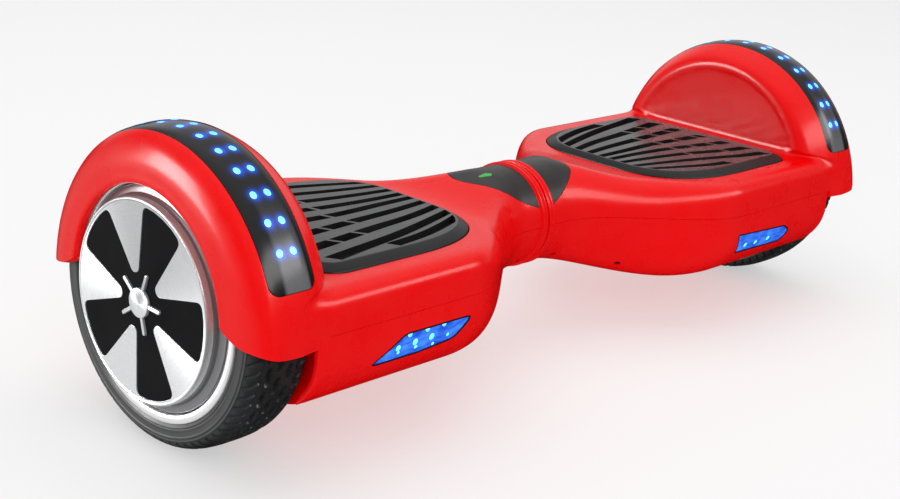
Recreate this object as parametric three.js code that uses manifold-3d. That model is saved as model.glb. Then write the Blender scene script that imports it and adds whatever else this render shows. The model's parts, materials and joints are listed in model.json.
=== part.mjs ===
// A self-balancing board on two hub-motor wheels. Units are millimetres and +Z is up.
// X runs along the axle line, -Y is the front with the headlights, and the origin is on the
// ground midway between the wheels. The board is two halves joined by a pivot at the waist,
// and both the pivot and the wheels turn about the axle line. Each half is built for +X in
// coordinates whose Z is measured from the axle line, and the half at -X is its mirror image.
// Outlines are lists of [x, radius], [x, y], [y, z] or [x, z], as each function says.
import * as THREE from "three";
import { mergeVertices } from "three/addons/utils/BufferGeometryUtils.js";
import Module from "manifold-3d";

const wasm = await Module();
wasm.setup();
const { smoothstep, lerp, degToRad, radToDeg } = THREE.MathUtils;

// Driving dimensions
const WHEEL_RADIUS = 83; // also the height of the axle line above the ground
const GAP = 0.3; // between pieces that touch
const WALL = 3; // moulded shells
const WAIST_GAP = 0.6; // from the middle plane to the end of each half
const WAIST_RADIUS = 33;
const COLLAR = { end: 6, radius: 35 };
const BODY_DEPTH = 93; // half the front-to-back size at the belt
const DECK_HEIGHT = 22;
const BELLY_DEPTH = 52;
const SHOULDER = 14; // rounding between the deck and the side
const BILGE = { width: 51, height: 39 }; // rounding between the side and the belly
const FLARE = { plan: [20, 134], deck: [24, 84], belly: [5, 118] }; // where the waist widens, along x

// Wheel and fender
const FENDER_IN = 232;
const FENDER_OUT = 289.5;
const FENDER_CREST = 92;
const FOOT_FLARE = 4; // how much wider the fender stands at its feet than at its top
const LIP_RADIUS = 62.3;
const FOOT_DROP = 4.6; // how far the fender's feet reach below the axle line
const LOWER_END = 250;
const LOWER_WALL = 240;
const WELL_RADIUS = 87.5;
const AXLE_RADIUS = 8;
const BEARING = { bore: 7.6, radius: 17.2, width: 11 };
const WHEEL_SIDES = 28; // one flat facet of the tyre faces the ground
const SHAFT_SIDES = 16;
const FACET_TOLERANCE = 0.05; // how far merging small facets may move a surface

// Foot pad
const PAD = { in: 87.5, out: 228, depth: 71, nose: 77, noseDepth: 55, corner: 18 };
const PAD_TOP = 25.6;
const PAD_BOTTOM = 19.6;
const PAD_TRAVEL = 2;
const PAD_CLEARANCE = 0.7;
const POCKET_FLOOR = PAD_BOTTOM - PAD_TRAVEL - 0.4;
const PLUNGERS = [120, 195].flatMap((x) => [-38, 38].map((y) => [x, y]));
const PLUNGER_RADIUS = 4;

// Lights
const STRIP = { in: 250, out: 279.5, reach: 73, floor: 88.8 };
const HEADLIGHTS = {
  right: [[214, -25.6], [175, -26], [148, -23.6], [134, -11.1], [188, -10.6]],
  left: [[197, -30.6], [139, -28.6], [137, -14.6], [194, -16.6], [203.5, -21.6]],
};
const LENS_THICKNESS = 2.2;
const TRIM = { start: 7.2, length: 37, reach: 66, thickness: 1.3 };

// Waist pivot
const SHAFT_RADIUS = 14;
const SHAFT_BORE = 9;
const SHAFT_HALF = 52;
const HUB_RADIUS = 22;
const BUSHINGS = { inner: 14, outer: 38 };
const BUSHING_WALL = { inner: SHAFT_RADIUS + 0.4, outer: SHAFT_RADIUS + 2.8 };
const STOP_PIN = { x: 32, radius: 2.2 };
const TWIST = 15; // degrees each way between the halves

// Chassis and electronics
const TRAY = { top: -5.6, bottom: -10.3 };
const BATTERY = { x: [108, 234], y: 45, z: [-46.6, -10.6] };
const BUTTON = { x: 150, z: -21, radius: 7 };
const PORT = { x: 182, z: -21, radius: 8 };
const SCREW = { x: 205, y: -51, head: -54.6, top: -5 }; // through the belly into the tray

const COLOURS = {
  red: [0xe60012, 0.25, 0],
  black: [0x101013, 0.15, 0],
  pad: [0x4a4a4d, 0.8, 0],
  trim: [0x1c1c20, 0.35, 0],
  tyre: [0x232325, 0.9, 0],
  silver: [0xc8cacd, 0.3, 1],
  white: [0xe8e8ea, 0.3, 0.2],
  steel: [0x8d9096, 0.35, 1],
  brass: [0xb08d4a, 0.4, 1],
  board: [0x0f5a33, 0.5, 0],
  blue: [0x1f5cff, 0.2, 0],
  green: [0x35e06a, 0.3, 0],
};

// Solids and meshes

// A closed geometry as a solid that can be joined and cut.
function toSolid(geometry) {
  const bare = new THREE.BufferGeometry();
  bare.setAttribute("position", geometry.getAttribute("position"));
  if (geometry.index) bare.setIndex(geometry.index);
  const merged = mergeVertices(bare, 1e-4);
  const kept = [];
  const index = merged.index.array;
  for (let i = 0; i < index.length; i += 3) {
    const [a, b, c] = index.slice(i, i + 3);
    if (a !== b && b !== c && c !== a) kept.push(a, b, c);
  }
  const vertProperties = merged.attributes.position.array;
  const triVerts = new Uint32Array(kept);
  return new wasm.Manifold(new wasm.Mesh({ numProp: 3, vertProperties, triVerts }));
}

function toMesh(name, solid, colour) {
  const { vertProperties, triVerts } = solid.simplify(FACET_TOLERANCE).getMesh();
  const geometry = new THREE.BufferGeometry();
  geometry.setAttribute("position", new THREE.BufferAttribute(vertProperties, 3));
  geometry.setIndex(new THREE.BufferAttribute(triVerts, 1));
  geometry.computeVertexNormals();
  const [color, roughness, metalness] = COLOURS[colour];
  const material = new THREE.MeshStandardMaterial({ color, roughness, metalness });
  const mesh = new THREE.Mesh(geometry, material);
  mesh.name = name;
  return mesh;
}

function box([x0, x1], [y0, y1], [z0, z1]) {
  const geometry = new THREE.BoxGeometry(x1 - x0, y1 - y0, z1 - z0);
  return toSolid(geometry.translate((x0 + x1) / 2, (y0 + y1) / 2, (z0 + z1) / 2));
}

// A closed solid swept about the X axis through the given angles, which are measured from
// straight up towards the front. profile(phi) is its outline of [x, radius] points, with the
// inside on the left. A sweep that ends where it began has no caps.
function sweep(profile, angles) {
  const full = Math.abs(angles.at(-1) - angles[0]) > 2 * Math.PI - 1e-6;
  const rings = (full ? angles.slice(0, -1) : angles).map((phi) =>
    profile(phi).map(([x, r]) => [x, -r * Math.sin(phi), r * Math.cos(phi)]));
  const count = rings[0].length;
  const index = [];
  const last = full ? rings.length : rings.length - 1;
  for (let i = 0; i < last; i++) {
    for (let j = 0; j < count; j++) {
      const next = ((i + 1) % rings.length) * count;
      const [a, b] = [i * count + j, i * count + ((j + 1) % count)];
      const [c, d] = [next + ((j + 1) % count), next + j];
      index.push(a, b, c, a, c, d);
    }
  }
  if (!full) {
    index.push(...cap(profile(angles[0]), 0, false));
    index.push(...cap(profile(angles.at(-1)), (rings.length - 1) * count, true));
  }
  const geometry = new THREE.BufferGeometry();
  geometry.setAttribute("position", new THREE.Float32BufferAttribute(rings.flat(2), 3));
  geometry.setIndex(index);
  return toSolid(geometry);
}

// Triangles that close one end of a sweep.
function cap(outline, offset, forward) {
  const points = outline.map(([x, r]) => new THREE.Vector2(x, r));
  return THREE.ShapeUtils.triangulateShape(points, []).flatMap((face) => {
    const [p, q, r] = face.map((i) => points[i]);
    const area = (q.x - p.x) * (r.y - p.y) - (q.y - p.y) * (r.x - p.x);
    const wanted = area > 0 === forward ? face : [...face].reverse();
    return wanted.map((i) => i + offset);
  });
}

// Angles in radians from one value in degrees to another.
function spread(from, to, steps) {
  return Array.from({ length: steps + 1 }, (_, i) => degToRad(lerp(from, to, i / steps)));
}

// A full turn with a flat facet straight down.
function turn(sides) {
  return spread(180 / sides, 360 + 180 / sides, sides);
}

// A full ring about the X axis. Its flats touch the radii of the outline.
function ring(outline, sides = WHEEL_SIDES) {
  const grow = 1 / Math.cos(Math.PI / sides);
  return sweep(() => outline.map(([x, r]) => [x, r * grow]), turn(sides));
}

function rod(x0, x1, radius, sides = SHAFT_SIDES) {
  return ring([[x0, 0], [x1, 0], [x1, radius], [x0, radius]], sides);
}

function tube(x0, x1, inner, outer, sides = SHAFT_SIDES) {
  return ring([[x0, inner], [x1, inner], [x1, outer], [x0, outer]], sides);
}

// A shape extruded from its own plane, which is XY, then turned by a function of its geometry.
function extrude(shape, depth, place = (g) => g, curveSegments = 8) {
  const options = { depth, bevelEnabled: false, curveSegments };
  return toSolid(place(new THREE.ExtrudeGeometry(shape, options)));
}

function polygon(points) {
  return new THREE.Shape(points.map(([x, y]) => new THREE.Vector2(x, y)));
}

// A prism along Y whose outline is [x, z] points.
function prismY(points, y0, y1) {
  return extrude(polygon(points), y1 - y0, (g) => g.rotateX(Math.PI / 2).translate(0, y1, 0));
}

function rodY(x, z, radius, y0, y1, sides = 16) {
  const geometry = new THREE.CylinderGeometry(radius, radius, y1 - y0, sides);
  return toSolid(geometry.translate(x, (y0 + y1) / 2, z));
}

function rodZ(x, y, radius, z0, z1, sides = 10) {
  const geometry = new THREE.CylinderGeometry(radius, radius, z1 - z0, sides);
  return toSolid(geometry.rotateX(Math.PI / 2).translate(x, y, (z0 + z1) / 2));
}

// Body surface

// The rounded-box section at station x, made smaller all round by inset.
function section(x, inset) {
  const plan = smoothstep(x, ...FLARE.plan);
  const grow = (from, to, share) => lerp(from, to, share) - inset;
  return {
    depth: grow(WAIST_RADIUS, BODY_DEPTH, plan),
    top: grow(WAIST_RADIUS, DECK_HEIGHT, smoothstep(x, ...FLARE.deck)),
    bottom: grow(WAIST_RADIUS, BELLY_DEPTH, smoothstep(x, ...FLARE.belly)),
    upper: [grow(WAIST_RADIUS, SHOULDER, plan), grow(WAIST_RADIUS, SHOULDER, plan)],
    lower: [grow(WAIST_RADIUS, BILGE.width, plan), grow(WAIST_RADIUS, BILGE.height, plan)],
  };
}

// Distance from the axle line to the body's surface at station x in the direction phi.
function bodyRadius(x, phi, inset = 0) {
  if (x <= COLLAR.end) return COLLAR.radius - inset;
  const cut = section(x, inset);
  const height = Math.cos(phi) > 0 ? cut.top : cut.bottom;
  const [width, rise] = Math.cos(phi) > 0 ? cut.upper : cut.lower;
  const inside = (radius) => {
    const y = radius * Math.abs(Math.sin(phi));
    const z = radius * Math.abs(Math.cos(phi));
    if (y > cut.depth || z > height) return false;
    const across = Math.max(0, y - cut.depth + width) / width;
    const along = Math.max(0, z - height + rise) / rise;
    return across * across + along * along <= 1;
  };
  let [low, high] = [0, 2 * BODY_DEPTH];
  for (let i = 0; i < 30; i++) {
    const middle = (low + high) / 2;
    if (inside(middle)) low = middle;
    else high = middle;
  }
  return low;
}

// Angles crowded towards the sides, where the sections are sharply rounded.
function bodyAngles(from, to, steps) {
  const crowd = 2.2;
  return spread(from, to, steps).map((t) => {
    const phi = Math.atan2(Math.sin(t) * (Math.cos(t) > 0 ? crowd : 1.4), Math.cos(t));
    return phi < -1e-9 && t > 0 ? phi + 2 * Math.PI : phi;
  });
}

const ANGLES = [...bodyAngles(0, 180, 12), ...bodyAngles(180, 360, 12).slice(1, -1), 2 * Math.PI];
const STATIONS = [COLLAR.end, COLLAR.end + 0.5, ...Array.from({ length: 8 }, (_, i) => 20 + i * 16.5)];

// The body as a solid from x = from to x = to.
function body(from, to, inset) {
  const stations = [from, ...STATIONS.filter((x) => x > from && x < to), to];
  return sweep((phi) => {
    const outline = stations.map((x) => [x, bodyRadius(x, phi, inset)]);
    return [[from, 0], [to, 0], ...outline.reverse()];
  }, ANGLES);
}

// The upper shell ends at the axle line, and the fender's feet hang lower beyond the lower shell.
const HALF_SPACE = { x: [-5, 300], y: [-150, 150] };
const FOOT_SPACE = box([LOWER_END + GAP, 300], [LIP_RADIUS - 4, 150], [-FOOT_DROP, 1]);
const UPPER_SPACE = box(HALF_SPACE.x, HALF_SPACE.y, [GAP / 2, 150])
  .add(FOOT_SPACE)
  .add(FOOT_SPACE.mirror([0, 1, 0]));
const LOWER_SPACE = box(HALF_SPACE.x, HALF_SPACE.y, [-150, -GAP / 2]);

// Shells

// Outline of the fender's outside; it widens towards the feet.
function fenderOutline(phi) {
  const share = Math.min(1, Math.abs(phi) / (Math.PI / 2)) ** 3;
  const crest = FENDER_CREST + FOOT_FLARE * share;
  return [
    [FENDER_IN, 0], [FENDER_OUT, 0], [FENDER_OUT, 76 + 8 * share], [FENDER_OUT - 2, 84 + 6 * share],
    [FENDER_OUT - 7, crest - 1.8], [FENDER_OUT - 11.5, crest], [253.5, crest],
    [LOWER_END, crest - 3.5], [236, 78.5], [FENDER_IN, 72],
  ];
}

// Space for the wheel inside the fender, with the opening for the hub.
const FENDER_CAVITY = [
  [FENDER_IN + WALL, 0], [300, 0], [300, LIP_RADIUS],
  [FENDER_OUT - 2.3, LIP_RADIUS], [FENDER_OUT - 2.3, 75.5], [FENDER_OUT - 4, 82.5],
  [FENDER_OUT - 8.5, WELL_RADIUS], [251, WELL_RADIUS], [237.5, 78], [FENDER_IN + WALL, 72],
];

function padShape(grow) {
  const shape = new THREE.Shape();
  const [out, depth, corner] = [PAD.out + grow, PAD.depth + grow, PAD.corner];
  const nose = PAD.in + PAD.nose;
  const straight = PAD.depth - PAD.noseDepth;
  const [rx, ry] = [PAD.nose + grow, PAD.noseDepth + grow];
  shape.moveTo(nose, -depth);
  shape.lineTo(out - corner, -depth);
  shape.absarc(out - corner, -depth + corner, corner, -Math.PI / 2, 0);
  shape.absarc(out - corner, depth - corner, corner, 0, Math.PI / 2);
  shape.absellipse(nose, straight, rx, ry, Math.PI / 2, Math.PI);
  shape.absellipse(nose, -straight, rx, ry, Math.PI, 1.5 * Math.PI);
  return shape;
}

function padPrism(grow, z0, z1) {
  return extrude(padShape(grow), z1 - z0, (g) => g.translate(0, 0, z0));
}

// A piece of the waist's top between two depths under the surface, inside the trim's outline.
function trimBlock(margin, top, bottom) {
  const steps = 5;
  const widen = degToRad(margin * 2);
  const inner = spread(-TRIM.reach, TRIM.reach, 12);
  const angles = [inner[0] - widen, ...inner.slice(1, -1), inner.at(-1) + widen];
  return sweep((phi) => {
    const side = Math.min(Math.abs(phi), degToRad(TRIM.reach));
    const share = (1 - (side / degToRad(TRIM.reach + 2)) ** 1.8) ** 0.55;
    const from = TRIM.start - margin;
    const to = TRIM.start + 1 + TRIM.length * share + margin;
    const stations = Array.from({ length: steps + 1 }, (_, i) => lerp(from, to, i / steps));
    const under = stations.map((x) => [x, bodyRadius(x, phi, bottom)]);
    const over = stations.map((x) => [x, bodyRadius(x, phi, top)]);
    return [...under, ...over.reverse()];
  }, angles);
}

// A band over the fender's crest between two radii, with margin around the light strip.
function stripBlock(margin, inner, outer) {
  const [x0, x1] = [STRIP.in - margin, STRIP.out + margin];
  const reach = STRIP.reach + margin * 0.7;
  return sweep(() => [[x0, inner], [x1, inner], [x1, outer], [x0, outer]], spread(-reach, reach, 16));
}

function headlightBlock(side, margin, y0, y1) {
  const outline = HEADLIGHTS[side];
  const mean = (axis) => outline.reduce((sum, point) => sum + point[axis], 0) / outline.length;
  const [cx, cz] = [mean(0), mean(1)];
  const grown = outline.map(([x, z]) => {
    const stretch = 1 + margin / Math.hypot(x - cx, z - cz);
    return [lerp(cx, x, stretch), lerp(cz, z, stretch)];
  });
  return prismY(grown, y0, y1);
}

function upperShell() {
  const skin = body(WAIST_GAP, LOWER_END + 2, 0).subtract(body(-1, FENDER_IN, WALL));
  const pan = padPrism(4, POCKET_FLOOR - 2.2, DECK_HEIGHT - 1);
  const fender = sweep(fenderOutline, spread(-96, 96, 16));
  let shell = skin.add(pan.intersect(body(WAIST_GAP, FENDER_IN, 1))).add(fender);
  shell = shell.subtract(sweep(() => FENDER_CAVITY, spread(-112.5, 112.5, 20)));
  const pocket = padPrism(PAD_CLEARANCE, POCKET_FLOOR, PAD_TOP + 20);
  shell = shell.subtract(pocket.intersect(box([60, FENDER_IN - 1], [-90, 90], [0, 60])));
  for (const [x, y] of PLUNGERS) shell = shell.subtract(rodZ(x, y, PLUNGER_RADIUS + 0.6, 0, 30));
  shell = shell.subtract(rod(225, 245, AXLE_RADIUS + 2));
  shell = shell.subtract(trimBlock(GAP, -8, TRIM.thickness + GAP));
  shell = shell.subtract(stripBlock(GAP, STRIP.floor, FENDER_CREST + 8));
  return shell.intersect(UPPER_SPACE);
}

function lowerShell(side) {
  let shell = body(WAIST_GAP, LOWER_END, 0).subtract(body(-1, LOWER_WALL - WALL, WALL));
  shell = shell.subtract(rod(LOWER_WALL, LOWER_END + 5, WELL_RADIUS, WHEEL_SIDES));
  shell = shell.subtract(rod(225, 245, AXLE_RADIUS + 2));
  shell = shell.subtract(headlightBlock(side, GAP, -110, -70));
  shell = shell.subtract(rodZ(SCREW.x, SCREW.y, 2.3, -60, -40));
  if (side === "right") {
    shell = shell.subtract(rodY(BUTTON.x, BUTTON.z, BUTTON.radius + 0.4, 80, 110));
    shell = shell.subtract(rodY(PORT.x, PORT.z, PORT.radius + GAP, 80, 110));
  }
  return shell.intersect(LOWER_SPACE);
}

// Lights and trim

function headlightLens(side) {
  const band = body(100, FENDER_IN, 0.2).subtract(body(90, FENDER_IN + 5, LENS_THICKNESS));
  return headlightBlock(side, 0, -110, -70).intersect(band);
}

function headlightBoard() {
  return box([142, 196], [-84.4, -82.8], [-27, -14]);
}

function fenderLens() {
  return stripBlock(0, STRIP.floor + 1.4, FENDER_CREST - 0.2);
}

function fenderBoard() {
  return stripBlock(-3, STRIP.floor + 0.2, STRIP.floor + 1.1);
}

function batteryIndicator() {
  return box([33, 39], [-5.6, -2.6], [32.9, 33.5]);
}

// Foot pad

// Slots in the tread fan out from a point behind the pad's nose.
function padSlots() {
  const origin = [-25, 2];
  const step = degToRad(6.8);
  const slots = [-3, -2, -1, 0, 1, 2, 3].map((k) => {
    const slot = new THREE.BoxGeometry(150, 4.5, 6).translate(190, 0, PAD_TOP + 0.4);
    return toSolid(slot.rotateZ(k * step).translate(...origin, 0));
  });
  return slots.reduce((all, slot) => all.add(slot));
}

function footPad() {
  const slots = padSlots().intersect(padPrism(-7, 0, 60)).subtract(box([205, 300], [-90, 90], [0, 60]));
  let pad = padPrism(0, PAD_BOTTOM, PAD_TOP).subtract(slots);
  for (const [x, y] of PLUNGERS) pad = pad.add(rodZ(x, y, PLUNGER_RADIUS, 1.2, PAD_BOTTOM + 1));
  return pad;
}

// Wheel

const TYRE = [
  [247.8, 66], [279.2, 66], [282.8, 68], [283, 73], [280, 79], [273, 82.3], [269, WHEEL_RADIUS],
  [255, WHEEL_RADIUS], [251, 82.3], [245, 79], [243, 73], [243.2, 68],
];

const RIM = [
  [246, 17.8], [258.5, 17.8], [258.5, 21], [250, 21], [250, 57], [278, 57], [278, 62], [283.5, 62],
  [283.5, 67], [279.6, 65.6], [247.4, 65.6], [244, 67],
];

const MOTOR_COVER = [[270, 17.8], [281.4, 17.8], [281.4, 61.6], [278.3, 61.6], [278.3, 21.2], [270, 21.2]];
const HUB_FACE = 290.7;
const HUB_COVER = [
  [HUB_FACE - 2.1, 0], [HUB_FACE, 0], [HUB_FACE, 55.5],
  [281.7, 55.5], [281.7, 53.5], [HUB_FACE - 2.1, 53.5],
];
const SPOKE_COUNT = 5;
const SPOKE_PHASE = 55.5; // degrees from straight up to the first silver spoke
const PETAL_HALF = 18.5; // degrees
const PETAL_RADIUS = 52.7;

// Places an extrusion made in the (front-to-up) plane on the wheel's outer face.
function onHubFace(shape, x0, x1) {
  const stand = (g) => g.rotateY(Math.PI / 2).rotateX(Math.PI / 2).translate(x0, 0, 0);
  return extrude(shape, x1 - x0, stand, 5);
}

// A point at an angle in degrees from straight up towards the front, in the hub face's plane.
function hubPoint(angle, radius) {
  return [-radius * Math.sin(degToRad(angle)), radius * Math.cos(degToRad(angle))];
}

// Five dark petals that meet in the middle, with a rounded silver spoke between each pair.
function hubInlay() {
  const outline = [];
  for (let k = 0; k < SPOKE_COUNT; k++) {
    const spoke = SPOKE_PHASE + (360 / SPOKE_COUNT) * k;
    for (const turned of [-9, 0, 9]) outline.push(hubPoint(spoke + turned, turned ? 16.4 : 15.5));
    const petal = spoke + 180 / SPOKE_COUNT;
    for (const share of [-1, -0.5, 0, 0.5, 1]) {
      outline.push(hubPoint(petal + share * PETAL_HALF, PETAL_RADIUS));
    }
  }
  return onHubFace(polygon(outline), HUB_FACE + GAP, HUB_FACE + 0.9);
}

// The small cap in the middle, with five thin arms.
function centreCap() {
  const outline = [];
  for (let k = 0; k < SPOKE_COUNT; k++) {
    const arm = SPOKE_PHASE + 180 / SPOKE_COUNT + (360 / SPOKE_COUNT) * k;
    outline.push(hubPoint(arm - 4, 17.5), hubPoint(arm + 4, 17.5));
    for (const turned of [12, 36, 60]) outline.push(hubPoint(arm + turned, 8.1));
  }
  return onHubFace(polygon(outline), HUB_FACE + 1.2, HUB_FACE + 1.9);
}

const AXLE = [
  [196, 0], [284, 0], [284, 7.35], [269.5, 7.35], [269.5, 12], [268, 12], [268, 29.7],
  [260, 29.7], [260, 12], [259, 12], [259, 7.35], [246.5, 7.35], [246.5, AXLE_RADIUS], [196, AXLE_RADIUS],
];

// Laminated core on the axle's flange, with 12 wound teeth.
function stator() {
  const teeth = 12;
  const tooth = [
    [-0.2, 38], [-0.2, 46], [-0.42, 48], [-0.42, 52],
    [0.42, 52], [0.42, 48], [0.2, 46], [0.2, 38],
  ];
  const outline = [];
  for (let k = 0; k < teeth; k++) {
    for (const [turned, radius] of tooth) outline.push(hubPoint((k + turned) * (360 / teeth), radius));
  }
  return onHubFace(polygon(outline), 255, 276).subtract(rod(250, 280, 30.2));
}

// Chassis and pivot

// Cast tray under the deck. It carries the axle in a saddle and the pivot in a hub.
function chassis(side) {
  const plan = [[40, -18], [80, -44], [112, -58], [228, -58], [228, 58], [112, 58], [80, 44], [40, 18]];
  let frame = extrude(polygon(plan), TRAY.top - TRAY.bottom, (g) => g.translate(0, 0, TRAY.bottom));
  for (const y of [-58, 52]) frame = frame.add(box([112, 228], [y, y + 6], [TRAY.bottom, 4]));
  frame = frame.add(box([196, 231], [-26, 26], [TRAY.bottom, -1]));
  frame = frame.add(rod(12, SHAFT_HALF + 6, HUB_RADIUS));
  frame = frame.subtract(rod(190, 240, AXLE_RADIUS + GAP));
  const bore = side === "left" ? SHAFT_RADIUS + GAP / 2 : BUSHING_WALL.outer + 0.4;
  frame = frame.subtract(rod(8, SHAFT_HALF + 4, bore)).subtract(rod(8, 80, SHAFT_BORE));
  if (side === "right") frame = frame.subtract(rodZ(STOP_PIN.x, 0, STOP_PIN.radius + 0.5, 10, 30));
  frame = frame.subtract(rodZ(SCREW.x, SCREW.y, 2.3, -12, SCREW.top + 0.5));
  return frame;
}

function axleClamp() {
  return box([200, 231], [-22, 22], [1, 14]).subtract(rod(190, 240, AXLE_RADIUS + GAP));
}

// Hollow shaft pressed into the left half. A slot for the stop pin limits the twist.
function pivotShaft() {
  const shaft = tube(-SHAFT_HALF, SHAFT_HALF, SHAFT_BORE, SHAFT_RADIUS);
  const reach = TWIST + radToDeg(Math.asin((STOP_PIN.radius + 0.8) / SHAFT_RADIUS));
  const [x0, x1] = [-STOP_PIN.x - 3, -STOP_PIN.x + 3];
  const slot = sweep(() => [[x0, 7], [x1, 7], [x1, 20], [x0, 20]], spread(-reach, reach, 8));
  const groove = tube(-50.4, -49.2, SHAFT_RADIUS - 1.6, SHAFT_RADIUS + 5);
  return shaft.subtract(slot).subtract(groove);
}

// Open spring ring in the shaft's groove.
function retainingRing() {
  const inner = SHAFT_RADIUS - 0.9;
  return sweep(() => [[49.5, inner], [50.1, inner], [50.1, 16.8], [49.5, 16.8]], spread(-160, 160, 16));
}

function bushing(x) {
  return tube(x, x + 10, BUSHING_WALL.inner, BUSHING_WALL.outer);
}

function stopPin() {
  return rodZ(STOP_PIN.x, 0, STOP_PIN.radius, 10.5, HUB_RADIUS + 1);
}

// Electronics

function gyroBoard() {
  const board = box([108, 190], [-44, 44], [TRAY.top + 2, TRAY.top + 3.6]);
  return board.add(box([140, 160], [-12, 12], [TRAY.top + 3, 0.4]));
}

function mainBoard() {
  let board = box([112, 226], [-42, 42], [-34, -32.4]);
  board = board.add(box([120, 214], [26, 38], [-33, -20]));
  for (const x of [130, 150, 170]) board = board.add(rodZ(x, -20, 7, -33, -14));
  return board;
}

function heatSink() {
  let sink = box([114, 224], [-40, 40], [-41, -36]);
  for (const y of [-38, -20, -2, 16, 34]) sink = sink.add(box([114, 224], [y, y + 4], [-46.5, -40]));
  return sink;
}

function battery() {
  return box(BATTERY.x, [-BATTERY.y, BATTERY.y], BATTERY.z);
}

// A cable through the hollow pivot, from one half to the other.
function loom() {
  const path = new THREE.CatmullRomCurve3([
    new THREE.Vector3(-100, 6, 2),
    new THREE.Vector3(-66, 0, 0),
    new THREE.Vector3(0, 0, 0),
    new THREE.Vector3(66, 0, 0),
    new THREE.Vector3(100, -6, 2),
  ]);
  const shape = new THREE.Shape().absarc(0, 0, 4, 0, 2 * Math.PI);
  const options = { extrudePath: path, steps: 12, bevelEnabled: false, curveSegments: 4 };
  return toSolid(new THREE.ExtrudeGeometry(shape, options));
}

// Controls on the back of the right half

const BACK_WALL = bodyRadius(150, Math.PI / 2) - 1.4; // y of the back wall's outside at the button

function powerButton() {
  return rodY(BUTTON.x, BUTTON.z, BUTTON.radius, 81, BACK_WALL + 1.6)
    .add(rodY(BUTTON.x, BUTTON.z, BUTTON.radius + 2, 79.4, 82));
}

function chargePort() {
  return rodY(PORT.x, PORT.z, PORT.radius, 74, BACK_WALL + 0.4)
    .add(rodY(PORT.x, PORT.z, PORT.radius + 3, 78, 81))
    .subtract(rodY(PORT.x, PORT.z, PORT.radius - 2.5, 80, BACK_WALL + 2));
}

// Rubber flap hinged on its upper edge.
function chargeCap() {
  const y = BODY_DEPTH + GAP;
  return rodY(PORT.x, PORT.z, PORT.radius + 2.5, y, y + 1.8)
    .add(box([PORT.x - 5, PORT.x + 5], [y, y + 1.8], [PORT.z + 8, PORT.z + 13]));
}

// A screw through the belly into the tray, with its head under the lower shell.
function bellyScrew() {
  return rodZ(SCREW.x, SCREW.y, 2, SCREW.head + 1, SCREW.top, 10)
    .add(rodZ(SCREW.x, SCREW.y, 3.6, SCREW.head, -BELLY_DEPTH - GAP, 12));
}

// Assembly

function wheel(tag) {
  const bearing = (x) => tube(x, x + BEARING.width, BEARING.bore, BEARING.radius);
  return [
    toMesh("tyre" + tag, ring(TYRE), "tyre"),
    toMesh("rim" + tag, ring(RIM), "white"),
    toMesh("magnet_ring" + tag, tube(254, 277, 53.4, 56.6, WHEEL_SIDES), "steel"),
    toMesh("bearing_inboard" + tag, bearing(247), "steel"),
    toMesh("bearing_outboard" + tag, bearing(270.2), "steel"),
    toMesh("motor_cover" + tag, ring(MOTOR_COVER), "steel"),
    toMesh("hub_cover" + tag, ring(HUB_COVER), "silver"),
    toMesh("hub_inlay" + tag, hubInlay(), "black"),
    toMesh("centre_cap" + tag, centreCap(), "silver"),
    toMesh("axle" + tag, ring(AXLE, SHAFT_SIDES), "steel"),
    toMesh("stator" + tag, stator(), "brass"),
  ];
}

function half(side, tag) {
  const group = new THREE.Group();
  group.add(
    toMesh("upper_shell" + tag, upperShell(), "red"),
    toMesh("lower_shell" + tag, lowerShell(side), "red"),
    toMesh("fender_lens" + tag, fenderLens(), "black"),
    toMesh("fender_led_board" + tag, fenderBoard(), "board"),
    toMesh("headlight_lens" + tag, headlightLens(side), "blue"),
    toMesh("headlight_board" + tag, headlightBoard(), "board"),
    toMesh("trim_panel" + tag, trimBlock(0, 0.1, TRIM.thickness), "trim"),
    toMesh("foot_pad" + tag, footPad(), "pad"),
    toMesh("chassis" + tag, chassis(side), "silver"),
    toMesh("axle_clamp" + tag, axleClamp(), "steel"),
    toMesh("gyro_board" + tag, gyroBoard(), "board"),
    toMesh("belly_screw" + tag, bellyScrew(), "steel"),
    ...wheel(tag),
  );
  return group;
}

const left = half("left", "_l");
left.add(
  toMesh("main_board", mainBoard(), "board"),
  toMesh("heat_sink", heatSink(), "silver"),
  toMesh("pivot_shaft", pivotShaft(), "steel"),
  toMesh("loom", loom(), "black"),
);

const right = half("right", "_r");
right.add(
  toMesh("battery", battery(), "blue"),
  toMesh("pivot_bushing_inner", bushing(BUSHINGS.inner), "brass"),
  toMesh("pivot_bushing_outer", bushing(BUSHINGS.outer), "brass"),
  toMesh("retaining_ring", retainingRing(), "steel"),
  toMesh("stop_pin", stopPin(), "steel"),
  toMesh("power_button", powerButton(), "black"),
  toMesh("charge_port", chargePort(), "black"),
  toMesh("charge_cap", chargeCap(), "black"),
  toMesh("battery_indicator", batteryIndicator(), "green"),
);
right.scale.x = -1;

const board = new THREE.Group();
board.add(left, right);
board.position.z = WHEEL_RADIUS;

export default board;
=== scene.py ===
"""Looks for a self-balancing board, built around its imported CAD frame."""
import json
import math

import bpy
import numpy as np
from mathutils import Matrix, Vector


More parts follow.
